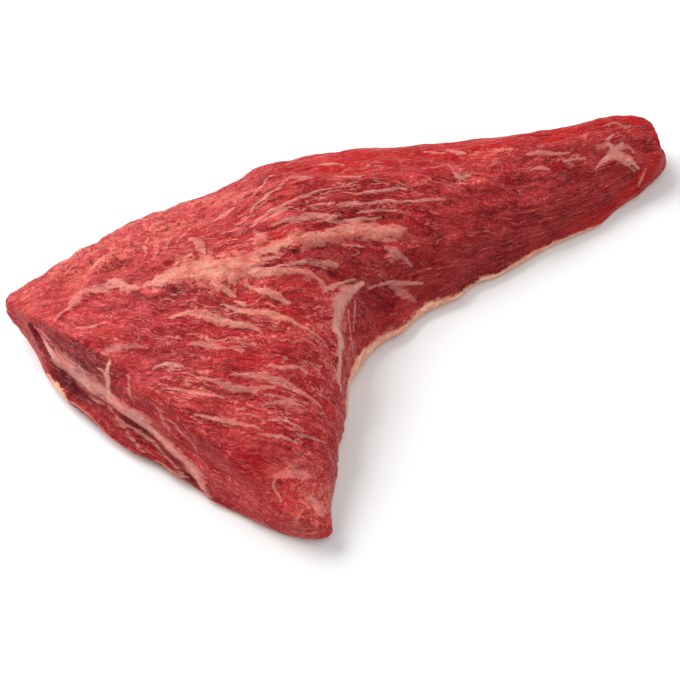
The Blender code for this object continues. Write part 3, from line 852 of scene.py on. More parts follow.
@dataclass
class ToneMap:
    """Where the meat is darker, lighter, redder or richer in marbling; the darker and lighter spots are
    partly painted shade and light.
    """

    # Partly the meat's own tone and partly painted light and shade for how the lamp falls, such as the
    # lighter upper-left facet.
    shades: tuple[Spot, ...] = (
        ((-66, -11, 28, 7, -6), -0.95), ((3, 22, 20, 8, 10), -0.8), ((-54, -84, 26, 11, -20), -0.55),
        ((22, 8, 14, 13, 0), -0.4), ((-12, -105, 18, 14, 0), 1.2), ((-105, 38, 55, 24, 25), 0.55),
        ((-36, -52, 44, 26, 0), 0.30), ((-6, -66, 9, 40, 0), 0.35), ((-12, -103, 12, 10, 0), 0.4),
        ((-118, -20, 30, 9, -35), 0.35),
        ((-24, 16, 20, 4, 14), -0.8), ((-30, 8, 16, 2.5, 8), -0.5), ((-36, 52, 22, 9, 45), 0.3),
        ((-98, -30, 26, 12, -30), -0.45), ((-8, 62, 34, 16, 12), -0.7), ((-62, 4, 24, 12, 0), -0.4),
        ((60, 98, 70, 10, 14), -0.7), ((-84, -42, 30, 18, -8), -0.6), ((8, 55, 26, 9, 12), -0.35),
        ((-8, 76, 26, 8, 8), 0.25), ((50, 72, 40, 10, 12), 0.15), ((20, 47, 18, 5, 10), -0.35),
    )
    red_spots: tuple[Spot, ...] = (
        ((-41, -92, 11, 6, -20), 0.9), ((-24, -106, 7, 8, 0), 0.7), ((-6, -114, 7, 5, 0), 0.6),
        ((-40, -12, 14, 5, -18), 0.6), ((-4, -3, 8, 5, -30), 0.5), ((-28, 60, 10, 3, 45), 0.6),
        ((-10, 80, 20, 4, 5), 0.4), ((-112, -26, 18, 6, -30), 0.35), ((-36, -46, 22, 4, 0), 0.5),
        ((-30, 27, 14, 4, 20), 0.5), ((-90, 28, 22, 5, 25), 0.3),
    )
    # On the cut face, which faces away from the lamp: partly the meat's own tone and partly painted shade,
    # darkest under the overhanging top edge and in the hollow near the corner.
    face_shades: tuple[Spot, ...] = (
        ((58, 38, 30, 10, -4), -2.3), ((46, 17, 26, 6, -14), -1.3), ((90, 16, 36, 5, -8), -0.8),
        ((120, 8, 50, 7, -4), -0.35), ((116, 38, 34, 10, 0), 0.25), ((56, 6, 30, 5, 0), 0.1),
        ((34, 14, 16, 14, 0), -0.8), ((4, 26, 16, 26, 0), 0.6),
    )
    flaked: tuple[Spot, ...] = (
        ((-40, -50, 60, 44, 0), 1.0), ((-18, 46, 50, 22, 15), 0.9), ((60, 70, 60, 22, 15), 0.35),
        ((-118, 0, 36, 18, -20), 0.6),
    )
    marbled: tuple[Spot, ...] = (
        ((-42, -45, 58, 42, 0), 0.95), ((-20, 48, 46, 22, 15), 1.0), ((70, 88, 70, 14, 18), 0.45),
        ((-105, 40, 50, 26, 25), 0.12), ((-60, 10, 40, 14, 10), 0.5),
    )
    base_loose: float = 0.10
    base_marbling: float = 0.12

    def tone(self, skin: Skin) -> np.ndarray:
        """Adds up soft ovals, partly the meat's own tone and partly painted light and shade, and paints
        shade on the lower half of the tail and on the wall of the bend, which face away from the lamp.

        Args:
            skin: The grid.
        Returns:
            About -1 for dark to 1 for light.
        """
        x, s = skin.points[..., 0], skin.s
        # Painted shade on the walls that face away from the lamp.
        lower_tail = ramp(x, 20.0, 60.0) * ramp(-s, -0.45, 0.35)
        bend_wall = ramp(x, 0.0, 12.0) * ramp(-x, -64.0, -40.0) * ramp(-s, 0.35, 0.7)
        wall_shade = 0.95 * lower_tail + 0.5 * np.clip(bend_wall - 0.6 * lower_tail, 0.0, 1.0)
        return blobs(skin.points, self.shades) - wall_shade + blobs(skin.place, self.face_shades) * skin.cut

    def bright(self, skin: Skin) -> np.ndarray:
        """Returns the bright red share: the upper far edge of the tail, its near edge, and spots.

        Args:
            skin: The grid.
        """
        x, s = skin.points[..., 0], skin.s
        far_edge = 0.8 * ramp(s, 0.38, 0.62) * (1.0 - 0.7 * ramp(s, 0.82, 0.97)) * ramp(x, -40.0, 10.0)
        near_edge = 0.7 * ramp(x, 90.0, 125.0) * ramp(-s, 0.80, 0.95)
        return far_edge + near_edge + blobs(skin.points, self.red_spots)

    def loose(self, points: np.ndarray) -> np.ndarray:
        """Returns where the strands lie loose and make lips, as a sum of soft ovals."""
        return np.clip(self.base_loose + blobs(points, self.flaked), 0.0, 1.0)

    def marbling(self, points: np.ndarray) -> np.ndarray:
        """Returns the richness of the marbling as a sum of soft ovals over a low base."""
        return np.clip(self.base_marbling + blobs(points, self.marbled), 0.0, 1.0)


def operator(operation: str, swapped: bool = False) -> Callable[[Wire, Term], Wire]:
    """Makes an operator of a wire.

    Args:
        operation: What the Math node does.
        swapped: Whether the wire stands on the right, after a number.
    Returns:
        The method.
    """
    def method(wire: Wire, other: Term) -> Wire:
        """Adds the node and returns its result."""
        return wire.bench.maths(operation, *((other, wire) if swapped else (wire, other)))
    return method


class Wire:
    """A socket in an expression; every operator on it adds a Math node."""

    __add__, __radd__ = operator("ADD"), operator("ADD", swapped=True)
    __sub__, __rsub__ = operator("SUBTRACT"), operator("SUBTRACT", swapped=True)
    __mul__, __rmul__ = operator("MULTIPLY"), operator("MULTIPLY", swapped=True)
    __truediv__ = operator("DIVIDE")

    def __init__(self, bench: NodeBench, socket: bpy.types.NodeSocket) -> None:
        """Keeps the bench and the socket."""
        self.bench, self.socket = bench, socket

    def __abs__(self) -> Wire:
        """Returns the size without its sign."""
        return self.bench.maths("ABSOLUTE", self)

    def step(self, start: float, full: float) -> Wire:
        """Returns a smooth step from 0 at start to 1 at full.

        Args:
            start, full: Where the step begins and ends; start may be the larger.
        """
        low, high = (0.0, 1.0) if full > start else (1.0, 0.0)
        ends = {0: self, 1: min(start, full), 2: max(start, full), 3: low, 4: high}
        node = self.bench.node("ShaderNodeMapRange", {"interpolation_type": "SMOOTHSTEP"}, ends)
        return Wire(self.bench, node.outputs[0])


Term = Wire | float


@dataclass(frozen=True)
class Weave:
    """A recipe for noise: cells to the millimetre each way, finer layers and their strength."""

    cells: tuple[float, float, float]
    layers: float
    strength: float


class NodeBench:
    """Lays out the nodes of one material."""

    def __init__(self, name: str) -> None:
        """Starts an empty material of the name."""
        self.material = bpy.data.materials.new(name)
        self.material.use_nodes = True
        self.tree = self.material.node_tree
        self.tree.nodes.clear()

    def node(self, kind: str, settings: dict[str, Any] | None = None,
             inputs: dict[int | str, Any] | None = None) -> bpy.types.Node:
        """Adds a node, makes its settings and then fills its sockets.

        Args:
            kind: The node's type.
            settings: Attributes by name; "stops" holds a ramp's places and colours.
            inputs: Values or wires by socket number or name.
        Returns:
            The node.
        """
        node = self.tree.nodes.new(kind)
        for name, value in (settings or {}).items():
            if name != "stops":
                setattr(node, name, value)
                continue
            while len(node.color_ramp.elements) < len(value):
                node.color_ramp.elements.new(1.0)
            for element, (place, colour) in zip(node.color_ramp.elements, value):
                element.position, element.color = place, colour
        for key, value in (inputs or {}).items():
            if isinstance(value, Wire):
                self.tree.links.new(value.socket, node.inputs[key])
            else:
                node.inputs[key].default_value = value
        return node

    def wire(self, output: int | str, kind: str, settings: dict[str, Any] | None = None,
             inputs: dict[int | str, Any] | None = None) -> Wire:
        """Adds a node and returns the wire from one of its outputs."""
        return Wire(self, self.node(kind, settings, inputs).outputs[output])

    def maths(self, operation: str, *terms: Term) -> Wire:
        """Adds a Math node on one, two or three terms."""
        return self.wire(0, "ShaderNodeMath", {"operation": operation}, dict(enumerate(terms)))

    def vectors(self, operation: str, *terms: Any) -> Wire:
        """Adds a Vector Math node on vectors or wires."""
        return self.wire(0, "ShaderNodeVectorMath", {"operation": operation}, dict(enumerate(terms)))

    def blend(self, factor: Term, first: Any, second: Any) -> Wire:
        """Mixes two colours by the share of the second."""
        settings = {"data_type": "RGBA", "blend_type": "MIX", "clamp_factor": True}
        return self.wire(2, "ShaderNodeMix", settings, {0: factor, 6: first, 7: second})

    def gradient(self, factor: Wire, stops: Sequence[tuple[float, Colour]]) -> Wire:
        """Turns a value into a colour by its stops."""
        return self.wire(0, "ShaderNodeValToRGB", {"stops": list(stops)}, {0: factor})

    def attribute(self, name: str, output: str = "Fac") -> Wire:
        """Reads an attribute of the mesh."""
        return self.wire(output, "ShaderNodeAttribute", {"attribute_name": name})

    def push(self, vector: Wire, by: Wire, amount: tuple[float, float, float]) -> Wire:
        """Adds a colour's channels, centred and scaled, to a vector, which bends a pattern."""
        centred = self.vectors("SUBTRACT", by, (0.5, 0.5, 0.5))
        return self.vectors("ADD", vector, self.vectors("MULTIPLY", centred, amount))

    def noise(self, vector: Wire, weave: Weave, output: str = "Fac") -> Wire:
        """Adds fractal noise, about 0.5 on average.

        Args:
            vector: Where to read it, in millimetres.
            weave: Its recipe.
            output: Its value or its colour.
        Returns:
            The noise.
        """
        inputs = {"Vector": self.vectors("MULTIPLY", vector, weave.cells), "Scale": 1.0,
                  "Detail": weave.layers, "Roughness": weave.strength}
        return self.wire(output, "ShaderNodeTexNoise", {"noise_dimensions": "3D"}, inputs)

    def finish(self, inputs: dict[int | str, Any]) -> bpy.types.Material:
        """Ends the material with the Principled shader, fills its sockets and returns it."""
        surface = self.wire("BSDF", "ShaderNodeBsdfPrincipled", {"subsurface_method": "RANDOM_WALK"}, inputs)
        self.node("ShaderNodeOutputMaterial", None, {"Surface": surface})
        return self.material


@dataclass(frozen=True)
class Weaves:
    """The recipes of the noises, named for what they draw on the meat."""

    wander: Weave = Weave((0.11, 0.11, 0.11), 3.0, 0.55)
    strand: Weave = Weave((0.20, 0.80, 0.5), 3.0, 0.6)
    bundle: Weave = Weave((0.055, 0.28, 0.2), 2.0, 0.5)
    layer: Weave = Weave((0.07, 0.85, 0.3), 3.0, 0.6)
    sheet: Weave = Weave((0.022, 0.22, 0.1), 2.0, 0.5)
    grit: Weave = Weave((1.25, 1.25, 1.25), 1.0, 0.6)
    crumb: Weave = Weave((0.42, 0.42, 0.42), 2.0, 0.6)
    mottle: Weave = Weave((0.065, 0.065, 0.065), 3.0, 0.55)
    clump: Weave = Weave((0.21, 0.21, 0.21), 2.0, 0.55)
    fleck: Weave = Weave((0.32, 1.10, 0.8), 1.0, 0.5)
    vein: Weave = Weave((0.06, 0.42, 0.25), 2.0, 0.55)
    thinner: Weave = Weave((0.04, 0.16, 0.2), 1.0, 0.5)
    face_vein: Weave = Weave((0.035, 0.40, 0.2), 2.0, 0.5)


@dataclass(frozen=True)
class Weights:
    """How much each pattern adds to, or takes from, the muscle's tone or its height."""

    strands: float
    bundles: float
    grit: float
    crumbs: float
    worms: float
    lips: float
    folds: float
    curls: float


class Patterns:
    """The wires that the muscle, the marbling, the fat and the relief share.

    The attributes come from the skin. Strands and bundles are noise stretched along the grain,
    on the cut face along its layers. Worms, curls and folds are contour lines of the crumbs, the
    clumps and the bundles. The saw is a saw tooth across the grain, bent by noise.
    """

    def __init__(self, b: NodeBench, weaves: Weaves) -> None:
        """Reads the attributes and adds the noises.

        Args:
            b: The bench of the material.
            weaves: The recipes.
        """
        self.cut, self.fat, self.warm, self.solid, self.ragged, self.tone = (
            b.attribute(name) for name in ("cut", "fat", "warm", "solid", "ragged", "tone"))
        self.loose, self.vivid, self.rich, self.facet = (
            b.attribute(name) for name in ("loose", "vivid", "marbling", "facet"))
        metres = b.wire("Object", "ShaderNodeTexCoord")
        body = b.vectors("MULTIPLY", metres, (1000.0, 1000.0, 1000.0))
        wander = b.noise(body, weaves.wander, "Color")
        self.grain = b.push(b.attribute("grain", "Vector"), wander, (4.0, 8.0, 4.0))
        self.place = b.push(b.attribute("cut_place", "Vector"), wander, (4.0, 6.0, 4.0))
        near = b.push(body, wander, (6.0, 6.0, 6.0))

        strand, bundle = b.noise(self.grain, weaves.strand), b.noise(self.grain, weaves.bundle)
        self.lines = self.on_face(strand, b.noise(self.place, weaves.layer))
        self.bands = self.on_face(bundle, b.noise(self.place, weaves.sheet))
        self.grit, self.mottle = b.noise(body, weaves.grit), b.noise(body, weaves.mottle)
        self.crumb, self.clump = b.noise(near, weaves.crumb), b.noise(near, weaves.clump)
        self.fibrous = 1.0 - 0.85 * self.facet
        self.crumbly = 0.55 + self.facet
        self.worm = abs(self.crumb - 0.5).step(0.0, 0.075)
        self.curl = abs(self.clump - 0.48).step(0.05, 0.0) * self.facet * self.mottle.step(0.40, 0.56)
        self.fold = abs(self.bands - 0.47).step(0.032, 0.0) * self.fibrous * (0.4 + 0.6 * self.loose)
        across = b.wire(1, "ShaderNodeSeparateXYZ", None, {0: self.grain})
        self.saw = b.maths("FRACT", across * -0.215 + bundle * 2.2 + strand * 0.5)
        self.flaked = (bundle + self.mottle - 1.0).step(-0.05, 0.07) * self.loose

    def on_face(self, upper: Wire, face: Wire) -> Wire:
        """Returns the first pattern on the upper side and the second on the cut face."""
        return upper + (face - upper) * self.cut


@dataclass(frozen=True)
class RawBeef:
    """The finish of raw beef: red muscle with its grain, marbling, seams and a rim of fat."""

    name: str = "raw_beef"
    deep: Colour = tint(76, 2, 16)
    dark: Colour = tint(126, 9, 20)
    middle: Colour = tint(162, 27, 36)
    light: Colour = tint(196, 63, 64)
    pale: Colour = tint(228, 126, 116)
    bright_red: Colour = tint(178, 14, 20)
    salmon: Colour = tint(220, 110, 97)
    orange: Colour = tint(204, 66, 50)
    milky: Colour = tint(206, 104, 102)
    seam_fat: Colour = tint(216, 156, 147)
    cream_fat: Colour = tint(206, 136, 120)
    # Partly the fat's own pale colour and partly painted light, brighter to stand in for the lamp shining
    # through the fat on its shaded side.
    rim_fat_and_glow: Colour = tint(246, 190, 158)
    streak: Colour = tint(220, 134, 120)
    orange_share: float = 0.18
    milky_share: float = 0.12
    streak_share: float = 0.70
    # Share of the painted shadow lines beside the veins.
    shadow_line_share: float = 0.5
    stain_share: float = 0.60
    vein_width: float = 0.042
    weaves: Weaves = Weaves()
    # In the tones, lips weight a painted highlight, and folds and curls painted shade in the creases.
    tones: Weights = Weights(strands=0.70, bundles=0.65, grit=0.80, crumbs=0.45, worms=0.10, lips=0.26,
                             folds=0.17, curls=0.40)
    heights: Weights = Weights(strands=0.44, bundles=1.4, grit=0.26, crumbs=0.80, worms=0.05, lips=0.50,
                               folds=0.20, curls=0.35)
    roughness: float = 0.38
    gloss: float = 0.17
    refraction: float = 1.38
    wet_weight: float = 0.05
    wet_roughness: float = 0.25
    soft: float = 0.08
    depth: tuple[float, float, float] = (0.003, 0.0010, 0.0007)

    def muscle(self, b: NodeBench, p: Patterns) -> Wire:
        """Draws the red muscle.

        The weighted patterns and the tone of the skin add up and go through a ramp of reds. Lips
        are the tops of the saw tooth, painted lighter as a highlight, and cracks its foot, painted
        darker as a shadow; folds and curls paint shade into the creases. Bright red, salmon where
        the meat is lumpy (partly its own colour, partly painted light where the upper-left facet
        faces the lamp), orange and a milky haze are mixed in.

        Args:
            b: The bench.
            p: The patterns.
        Returns:
            The colour.
        """
        by = self.tones
        # Painted highlight on the flake lips, and painted shadow at the foot of each step.
        lip = p.saw.step(0.60, 0.93) * p.saw.step(1.0, 0.965) * p.flaked
        step_shadow = (p.saw.step(0.10, 0.0) + p.saw.step(0.97, 1.0)) * p.flaked
        fleck = b.noise(p.grain, self.weaves.fleck).step(0.58, 0.70) * (1.0 - 0.7 * p.loose) * p.fibrous
        # Besides the tone of the skin, fold and curl paint shade into the creases.
        total = (0.50 + 0.20 * p.tone + (p.lines - 0.5) * by.strands * p.fibrous
                 + (p.bands - 0.5) * by.bundles * p.fibrous + (p.grit - 0.5) * by.grit
                 + (p.crumb - 0.5) * by.crumbs * p.crumbly + (p.mottle - 0.5) * 0.25
                 + (p.worm - 0.75) * by.worms * p.crumbly + lip * by.lips - step_shadow * 0.12
                 - p.fold * by.folds - p.curl * by.curls + fleck * 0.26)
        reds = ((0.0, self.deep), (0.26, self.dark), (0.5, self.middle), (0.74, self.light), (1.0, self.pale))
        colour = b.gradient(total, reds)
        colour = b.blend(p.vivid * (p.lines + 0.3), colour, self.bright_red)
        # Salmon on the lumpy facets: partly their own colour, partly painted light where the upper-left facet
        # faces the lamp.
        lumpy = (p.mottle - 0.5) * 2.4 + (p.crumb - 0.5) * 2.4 + 0.33 - p.curl * 0.6
        colour = b.blend(p.facet * lumpy, colour, self.salmon)
        warm = (p.mottle - p.bands + 0.02).step(-0.06, 0.16)
        colour = b.blend(warm * self.orange_share, colour, self.orange)
        haze = (p.clump * 0.5 + p.bands + p.mottle * 0.5 - 0.95).step(-0.05, 0.20) * (1.0 - p.vivid)
        return b.blend(haze * self.milky_share, colour, self.milky)

    def marbling(self, b: NodeBench, p: Patterns) -> tuple[Wire, Wire]:
        """Draws the small marbling: contour lines of stretched noise, thinned by a second one.

        Args:
            b: The bench.
            p: The patterns.
        Returns:
            The veins, and the dark lines of painted shadow beside them.
        """
        vein = p.on_face(b.noise(p.grain, self.weaves.vein), b.noise(p.place, self.weaves.face_vein))
        width = self.vein_width * p.rich * b.noise(p.grain, self.weaves.thinner).step(0.42, 0.62)
        veins = (width - abs(vein - 0.5)).step(-0.022, 0.016) * (p.lines + 0.25)
        return veins, (0.6 * width - abs(vein - 0.565)).step(-0.018, 0.012)

    def fat(self, b: NodeBench, p: Patterns, plush: Wire) -> tuple[Wire, Wire, Wire]:
        """Draws the fat: the streak depth plus noise at its edge, cut off softly.

        Ragged streaks have the most noise. The meat stains the fat, and thin kinds let its
        threads show through.

        Args:
            b: The bench.
            p: The patterns.
            plush: One for thick cream fat.
        Returns:
            Where the fat is, its share of the colour, and its colour.
        """
        noise = ((p.lines - 0.5) * 2.0 * (1.0 - plush) + (p.bands - 0.5) * 1.4 * (1.0 - 0.6 * plush)
                 + (p.clump - 0.5) * (1.7 + 1.7 * plush) + (p.crumb - 0.5) * (0.9 + 0.9 * plush))
        edge = p.fat + noise * p.ragged * (1.0 - p.fat.step(0.15, 0.7) * (0.5 + 0.35 * plush))
        here = (edge / (0.45 + p.ragged * (1.0 - 0.4 * plush))).step(-0.25, 0.60)
        pure = b.gradient(p.warm, ((0.0, self.seam_fat), (0.6, self.cream_fat), (1.0, self.rim_fat_and_glow)))
        stain = ((p.mottle + p.clump + p.crumb - 1.0).step(0.38, 0.72) * (0.35 + 0.65 * p.ragged)
                 * (1.0 - 0.4 * p.solid.step(0.93, 0.96)))
        thread = 0.85 + (p.lines - 0.5) * 2.2 + (p.clump - 0.5) * 2.0
        thin = (1.35 - p.solid).step(0.35, 0.8) * 0.8 * (1.0 - 0.7 * plush)
        cover = p.solid * (1.0 + (thread - 1.0) * thin)
        return here, here * (1.0 - 0.40 * stain) * cover, b.blend(stain * self.stain_share, pure, self.salmon)

    def height(self, p: Patterns, veins: Wire, shadow_line: Wire, fat_here: Wire, plush: Wire) -> Wire:
        """Adds up the fine relief in millimetres; the muscle's share fades under the fat.

        Args:
            p: The patterns.
            veins, shadow_line: The small marbling, and the dark lines of painted shadow beside it.
            fat_here: Where the fat is.
            plush: One for thick cream fat.
        Returns:
            The height.
        """
        by = self.heights
        flap = p.saw * p.saw.step(1.0, 0.82) * p.flaked
        muscle = ((p.lines - 0.5) * by.strands + (p.bands - 0.5) * by.bundles * p.fibrous
                  + (p.grit - 0.5) * by.grit + (p.crumb - 0.5) * by.crumbs * p.crumbly
                  + p.worm * by.worms * p.crumbly + flap * by.lips - p.fold * by.folds - p.curl * by.curls)
        return (muscle * (1.0 - 0.75 * fat_here) + (p.clump - 0.5) * 1.4 * (1.0 - 0.5 * fat_here)
                + fat_here * (0.10 + 0.25 * plush) + veins * 0.10 - shadow_line * 0.15)

    def make(self) -> bpy.types.Material:
        """Builds the material: muscle, then dark lines of painted shadow, marbling and fat over it, and the
        relief.

        Returns:
            The material.
        """
        b = NodeBench(self.name)
        p = Patterns(b, self.weaves)
        veins, shadow_line = self.marbling(b, p)
        # Painted shadow: dark lines beside the veins.
        meat = b.blend(shadow_line * self.shadow_line_share, self.muscle(b, p), self.dark)
        meat = b.blend(veins * self.streak_share, meat, self.streak)
        plush = p.warm.step(0.45, 0.65)
        fat_here, fat_share, fat_colour = self.fat(b, p, plush)
        height = self.height(p, veins, shadow_line, fat_here, plush)
        bump = b.wire("Normal", "ShaderNodeBump", None, {"Strength": 1.0, "Distance": MM, "Height": height})
        return b.finish({
            "Base Color": b.blend(fat_share, meat, fat_colour), "Normal": bump,
            "Roughness": self.roughness + (p.grit - 0.5) * 0.3 + fat_here * 0.08 - (p.mottle - 0.5) * 0.2,
            "Subsurface Weight": self.soft, "Subsurface Radius": self.depth, "Subsurface Scale": 1.0,
            "Specular IOR Level": self.gloss, "IOR": self.refraction, "Coat Weight": self.wet_weight,
            "Coat Roughness": self.wet_roughness})


@dataclass
class FatLayer:
    """What the fat and the folds do at each point of the skin; shade is the painted shade in the folds and
    slits.
    """

    depth: np.ndarray
    warm: np.ndarray
    solid: np.ndarray
    ragged: np.ndarray
    height: np.ndarray
    shade: np.ndarray

    def lay(self, near: np.ndarray, kind: Fat, ragged: float) -> None:
        """Lays fat over what is there, wherever it is the deeper one.

        Args:
            near: Its depth: 1 on its line, 0 at its edge.
            kind: The kind of fat.
            ragged: How ragged its edge is.
        """
        deeper = near > self.depth
        warmth, cover = kind.value
        self.warm = np.where(deeper, warmth, self.warm)
        self.solid = np.where(deeper, cover, self.solid)
        self.ragged = np.where(deeper, ragged, self.ragged)
        self.depth = np.maximum(self.depth, near)


@dataclass
class TriTip:
    """The whole roast: its skin, where its fat and tones lie, and its finish."""

    form: RoastForm = field(default_factory=RoastForm)
    grain: GrainField = field(default_factory=GrainField)
    relief: Relief = field(default_factory=Relief)
    fat: FatMap = field(default_factory=FatMap)
    tones: ToneMap = field(default_factory=ToneMap)
    finish: RawBeef = field(default_factory=RawBeef)
    folds_above: tuple[float, float] = (24.0, 28.0)
    streaks_above: tuple[float, float] = (5.0, 11.0)
    rim_top: float = 8.0
    rim_flap: Spot = ((6, -28, 13, 17, 0), 8.5)
    back_rim_top: float = 5.0
    rim_softness: float = 3.0
    rim_raggedness: float = 0.28

    def rim(self, skin: Skin) -> np.ndarray:
        """Returns the depth of the fat rim at the foot.

        It reaches up to a wavy line, high along the bend and lower toward the tip, and is thin
        along the back.

        Args:
            skin: The grid.
        """
        (x, y, z), s = skin.xyz(), skin.s
        wave = GradientNoise(12).at(x / 13, y / 13, z * 0.0)
        spot, flap = self.rim_flap
        top = (self.rim_top - 1.5 * ramp(x, 36.0, 66.0) - 1.2 * ramp(x, 90.0, 130.0)
               - 1.5 * ramp(-y, 60.0, 80.0) + flap * blob(skin.points, spot) + wave)
        front = ramp(-x, -158.0, -128.0) * ramp(-s, 0.5, 0.8) * ramp(y, -118.0, -96.0) * (1.0 - skin.cut)
        back = ramp(s, 0.7, 0.85) * (1.0 - skin.cut)
        return np.maximum(*((reach - z) / self.rim_softness * share + NO_FAT * (1.0 - share)
                            for reach, share in ((top, front), (self.back_rim_top + 1.6 * wave, back))))

    def fat_layer(self, skin: Skin) -> FatLayer:
        """Lays the folds, every streak, the slits, the rim and the cap of the underside.

        At each point the highest streak raises the skin, while folds and slits add up and get
        painted shade, which darkens the colour in them. Streaks of the upper side end above the foot.

        Args:
            skin: The grid.
        Returns:
            The layer.
        """
        none, plan, z = np.zeros(skin.cut.shape), skin.points[..., :2], skin.points[..., 2]
        cut, place = skin.cut, skin.place[..., :2]
        layer = FatLayer(none + NO_FAT, none, none, none, none, none)
        raised = none
        for strokes, where, share in ((self.fat.folds, plan, ramp(z, *self.folds_above)),
                                      (self.fat.upper, plan, ramp(z, *self.streaks_above) * (1.0 - cut)),
                                      (self.fat.face, place, cut), (self.fat.slits, place, cut)):
            for stroke in strokes:
                near = np.where(share > 0.5, stroke.depth(where), NO_FAT)
                change = stroke.height * ramp(near, -0.6, 0.7)
                if stroke.height < 0.0:
                    layer.height = layer.height + change
                    # Painted shade: the fold or slit darkens the colour.
                    layer.shade = np.maximum(layer.shade, ramp(near, -0.7, 0.8))
                else:
                    raised = np.maximum(raised, change)
                    layer.lay(near, stroke.kind, min(0.35 + stroke.breadth() / 9.0, 1.0))
        rim, bottom = self.rim(skin), ramp(-z, -4.0, -1.0)
        cap = np.where(bottom > 0.0, bottom * 0.9 - 0.4, NO_FAT)
        layer.lay(np.minimum(np.maximum(rim, cap), 1.0), Fat.RIM, self.rim_raggedness)
        layer.height = layer.height + raised + 0.9 * ramp(rim, -0.5, 0.3)
        return layer

    def cut_face(self, points: np.ndarray, normals: np.ndarray,
                 station: np.ndarray) -> tuple[np.ndarray, np.ndarray]:
        """Finds the cut face at the broad end by the way the skin faces.

        Args:
            points, normals: The grid and its outward normals.
            station: Places along the roast, below zero past the first section.
        Returns:
            One on the cut face, and millimetres along it, up it and out of it.
        """
        first, last = np.array(self.form.stations[0].outer), np.array(self.form.stations[0].inner)
        chord = (last - first) / np.linalg.norm(last - first)
        away = np.array([chord[1], -chord[0]])
        cut = ramp(normals[..., :2] @ away, 0.30, 0.62) * (station < 0.0)[:, None]
        offset = points[..., :2] - first
        return cut, np.stack([offset @ chord, points[..., 2], offset @ away], axis=-1)

    def along_grain(self, points: np.ndarray, s: np.ndarray) -> np.ndarray:
        """Returns millimetres along the grain, across it and up.

        On the walls the strands lie flat, and hang down only at the near side of the broad end.

        Args:
            points: The grid.
            s: Places across the section.
        """
        drop = np.abs(s) ** 3 * (50.0 - points[..., 2])
        down = ramp(-s, 0.0, 0.5) * ramp(-points[..., 0], -60.0, -20.0)
        across = self.grain.across(points[..., :2]) + self.grain.wall_turn * np.sign(s) * drop * (1.0 - down)
        return np.stack([points[..., 0] + drop * down, across, 0.5 * points[..., 2]], axis=-1)

    def looks(self, skin: Skin, layer: FatLayer) -> dict[str, np.ndarray]:
        """Returns what the finish reads at each point, by name.

        Args:
            skin: The grid.
            layer: The fat and the folds.
        """
        (x, y, _), points, cut = skin.xyz(), skin.points, skin.cut
        upper_left = blob(points, (-112, 38, 52, 20, 24)) * ramp(y - 0.33 * x, 36.0, 50.0)
        # Painted shade: a thin dark line where the far side turns down and away from the lamp.
        edge_shade = (ramp(-skin.normals[..., 2], -0.72, -0.56) * ramp(skin.s, 0.4, 0.6)
                    * ramp(-x, 45.0, 75.0) * (1.0 - cut))
        vivid = self.tones.bright(skin) + self.form.border(points)
        # facet: the lumpy meat's salmon, partly painted light on the upper-left facet that faces the lamp.
        facet = 1.6 * upper_left + 1.7 * blob(points, (-12, -107, 17, 13, -20))
        # The tone takes away the painted shade of the folds, the slits and the far edge.
        return {"cut": cut, "fat": layer.depth, "warm": layer.warm, "solid": layer.solid,
                "ragged": layer.ragged, "tone": self.tones.tone(skin) - 0.9 * (layer.shade + edge_shade),
                "loose": self.tones.loose(points) * (1.0 - cut),
                "marbling": self.tones.marbling(points) * (1.0 - 0.6 * cut),
                "vivid": np.clip(vivid, 0.0, 1.0), "facet": np.clip(facet, 0.0, 1.0)}

    def settle(self, raised: np.ndarray) -> np.ndarray:
        """Moves the raised skin onto the floor, with its box centred on the solid's."""
        low, high = (np.array(corner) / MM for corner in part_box(NODE))
        least, most = raised.min(axis=(0, 1)), raised.max(axis=(0, 1))
        shift = (low + high - least - most) / 2.0
        shift[2] = low[2] - least[2]
        log.info("skin %d x %d points, shifted by %s mm", *raised.shape[:2], np.round(shift, 2))
        return raised + shift

    def build(self) -> bpy.types.Object:
        """Works out the skin and what the finish reads, and puts them into a mesh.

        Each point of the loft moves out along its normal by the broad relief, the fine relief and
        the height of the fat, all of which fade out at the flat underside.

        Returns:
            The object, at the origin, with its box centred on the solid's.
        """
        points, s, station = self.form.grid()
        points = self.form.trim(self.form.pull(points))
        normals = grid_normals(points)
        skin = Skin(points, normals, s, *self.cut_face(points, normals, station), self.along_grain(points, s))
        layer = self.fat_layer(skin)
        out = self.relief.broad(skin) + layer.height + self.relief.fine(skin, self.tones.loose(points))
        raised = points + normals * (out * ramp(points[..., 2], 1.0, 6.0))[..., None]
        raised[..., 2] = np.maximum(raised[..., 2], 0.0)

        mesh = bpy.data.meshes.new("tri_tip_skin")
        mesh.from_pydata((self.settle(raised).reshape(-1, 3) * MM).tolist(), [], self.form.faces(len(points)))
        mesh.polygons.foreach_set("use_smooth", np.ones(len(mesh.polygons), bool))
        for name, value in (self.looks(skin, layer) | {"grain": skin.grain, "cut_place": skin.place}).items():
            kind, item = ("FLOAT", "value") if value.ndim == 2 else ("FLOAT_VECTOR", "vector")
            data = mesh.attributes.new(name, kind, "POINT").data
            data.foreach_set(item, value.ravel().astype(np.float32))
        mesh.validate()
        mesh.update()
        roast = bpy.data.objects.new("tri_tip", mesh)
        bpy.context.scene.collection.objects.link(roast)
        log.info("roast: %d vertices, %d faces", len(mesh.vertices), len(mesh.polygons))
        return roast

    def dress(self, roast: bpy.types.Object) -> None:
        """Gives the roast its finish and its place in the frame.

        Args:
            roast: The object.
        """
        roast.data.materials.append(self.finish.make())
        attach(roast, BODY)
        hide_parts(NODE)


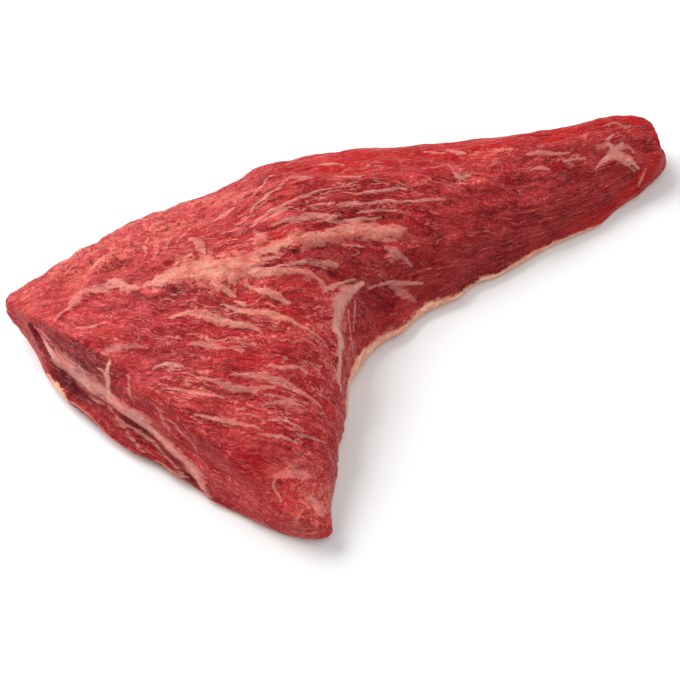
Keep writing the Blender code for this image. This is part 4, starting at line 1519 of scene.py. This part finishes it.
@dataclass
class Studio:
    """A pale floor, a large soft lamp from the back left, a fill, and the camera."""

    floor_size: float = 12.0
    floor_colour: Colour = (0.83, 0.83, 0.83, 1.0)
    floor_roughness: float = 0.9
    world_strength: float = 0.56
    lens: float = 100.0
    sensor: float = 36.0
    elevation: float = 55.0
    distance: float = 0.960
    lamps: tuple[tuple[str, tuple[float, float, float], float, float], ...] = (
        ("key", (-1.00, 0.72, 1.05), 1.45, 35.0), ("fill", (0.3, -0.5, 1.6), 1.2, 6.0))

    def lay_floor(self) -> None:
        """Makes the floor, a wide square at height zero."""
        half = self.floor_size / 2.0
        corners = [(-half, -half, 0.0), (half, -half, 0.0), (half, half, 0.0), (-half, half, 0.0)]
        mesh = bpy.data.meshes.new("floor")
        mesh.from_pydata(corners, [], [(0, 1, 2, 3)])
        floor = bpy.data.objects.new("floor", mesh)
        bpy.context.scene.collection.objects.link(floor)
        mesh.materials.append(NodeBench("white_floor").finish({
            "Base Color": self.floor_colour, "Roughness": self.floor_roughness, "Specular IOR Level": 0.0}))

    def light(self) -> None:
        """Sets the even background light and the soft lamps, each aimed at the roast."""
        world = bpy.data.worlds.new("studio")
        bpy.context.scene.world = world
        world.use_nodes = True
        background = next(n for n in world.node_tree.nodes if n.type == "BACKGROUND")
        background.inputs["Color"].default_value = (1.0, 1.0, 1.0, 1.0)
        background.inputs["Strength"].default_value = self.world_strength
        for name, place, size, power in self.lamps:
            lamp = bpy.data.lights.new(name, "AREA")
            lamp.shape, lamp.size, lamp.energy = "DISK", size, power
            holder = bpy.data.objects.new(name, lamp)
            holder.location = place
            holder.rotation_euler = (-Vector(place)).to_track_quat("-Z", "Y").to_euler()
            bpy.context.scene.collection.objects.link(holder)

    def place_camera(self, target: tuple[float, float]) -> None:
        """Puts the camera at the photograph's height, looking along +Y.

        Args:
            target: The point on the floor that lies in the middle of the picture.
        """
        camera = bpy.data.cameras.new("camera")
        camera.lens, camera.sensor_fit = self.lens, "AUTO"
        camera.sensor_width = camera.sensor_height = self.sensor
        tilt = math.radians(self.elevation)
        back, up = self.distance * heading(self.elevation)
        holder = bpy.data.objects.new("camera", camera)
        holder.location = (target[0], target[1] - back, up)
        holder.rotation_euler = (math.pi / 2.0 - tilt, 0.0, 0.0)
        bpy.context.scene.collection.objects.link(holder)
        bpy.context.scene.camera = holder
        bpy.context.scene.view_settings.view_transform = "Standard"


def main() -> None:
    """Builds the roast and the studio."""
    logging.basicConfig(level=logging.INFO, format="%(name)s: %(message)s")
    roast_maker = TriTip()
    roast = roast_maker.build()
    roast_maker.dress(roast)
    studio = Studio()
    studio.lay_floor()
    studio.light()
    studio.place_camera((-0.0044, -0.0075))


if __name__ == "__main__":
    main()
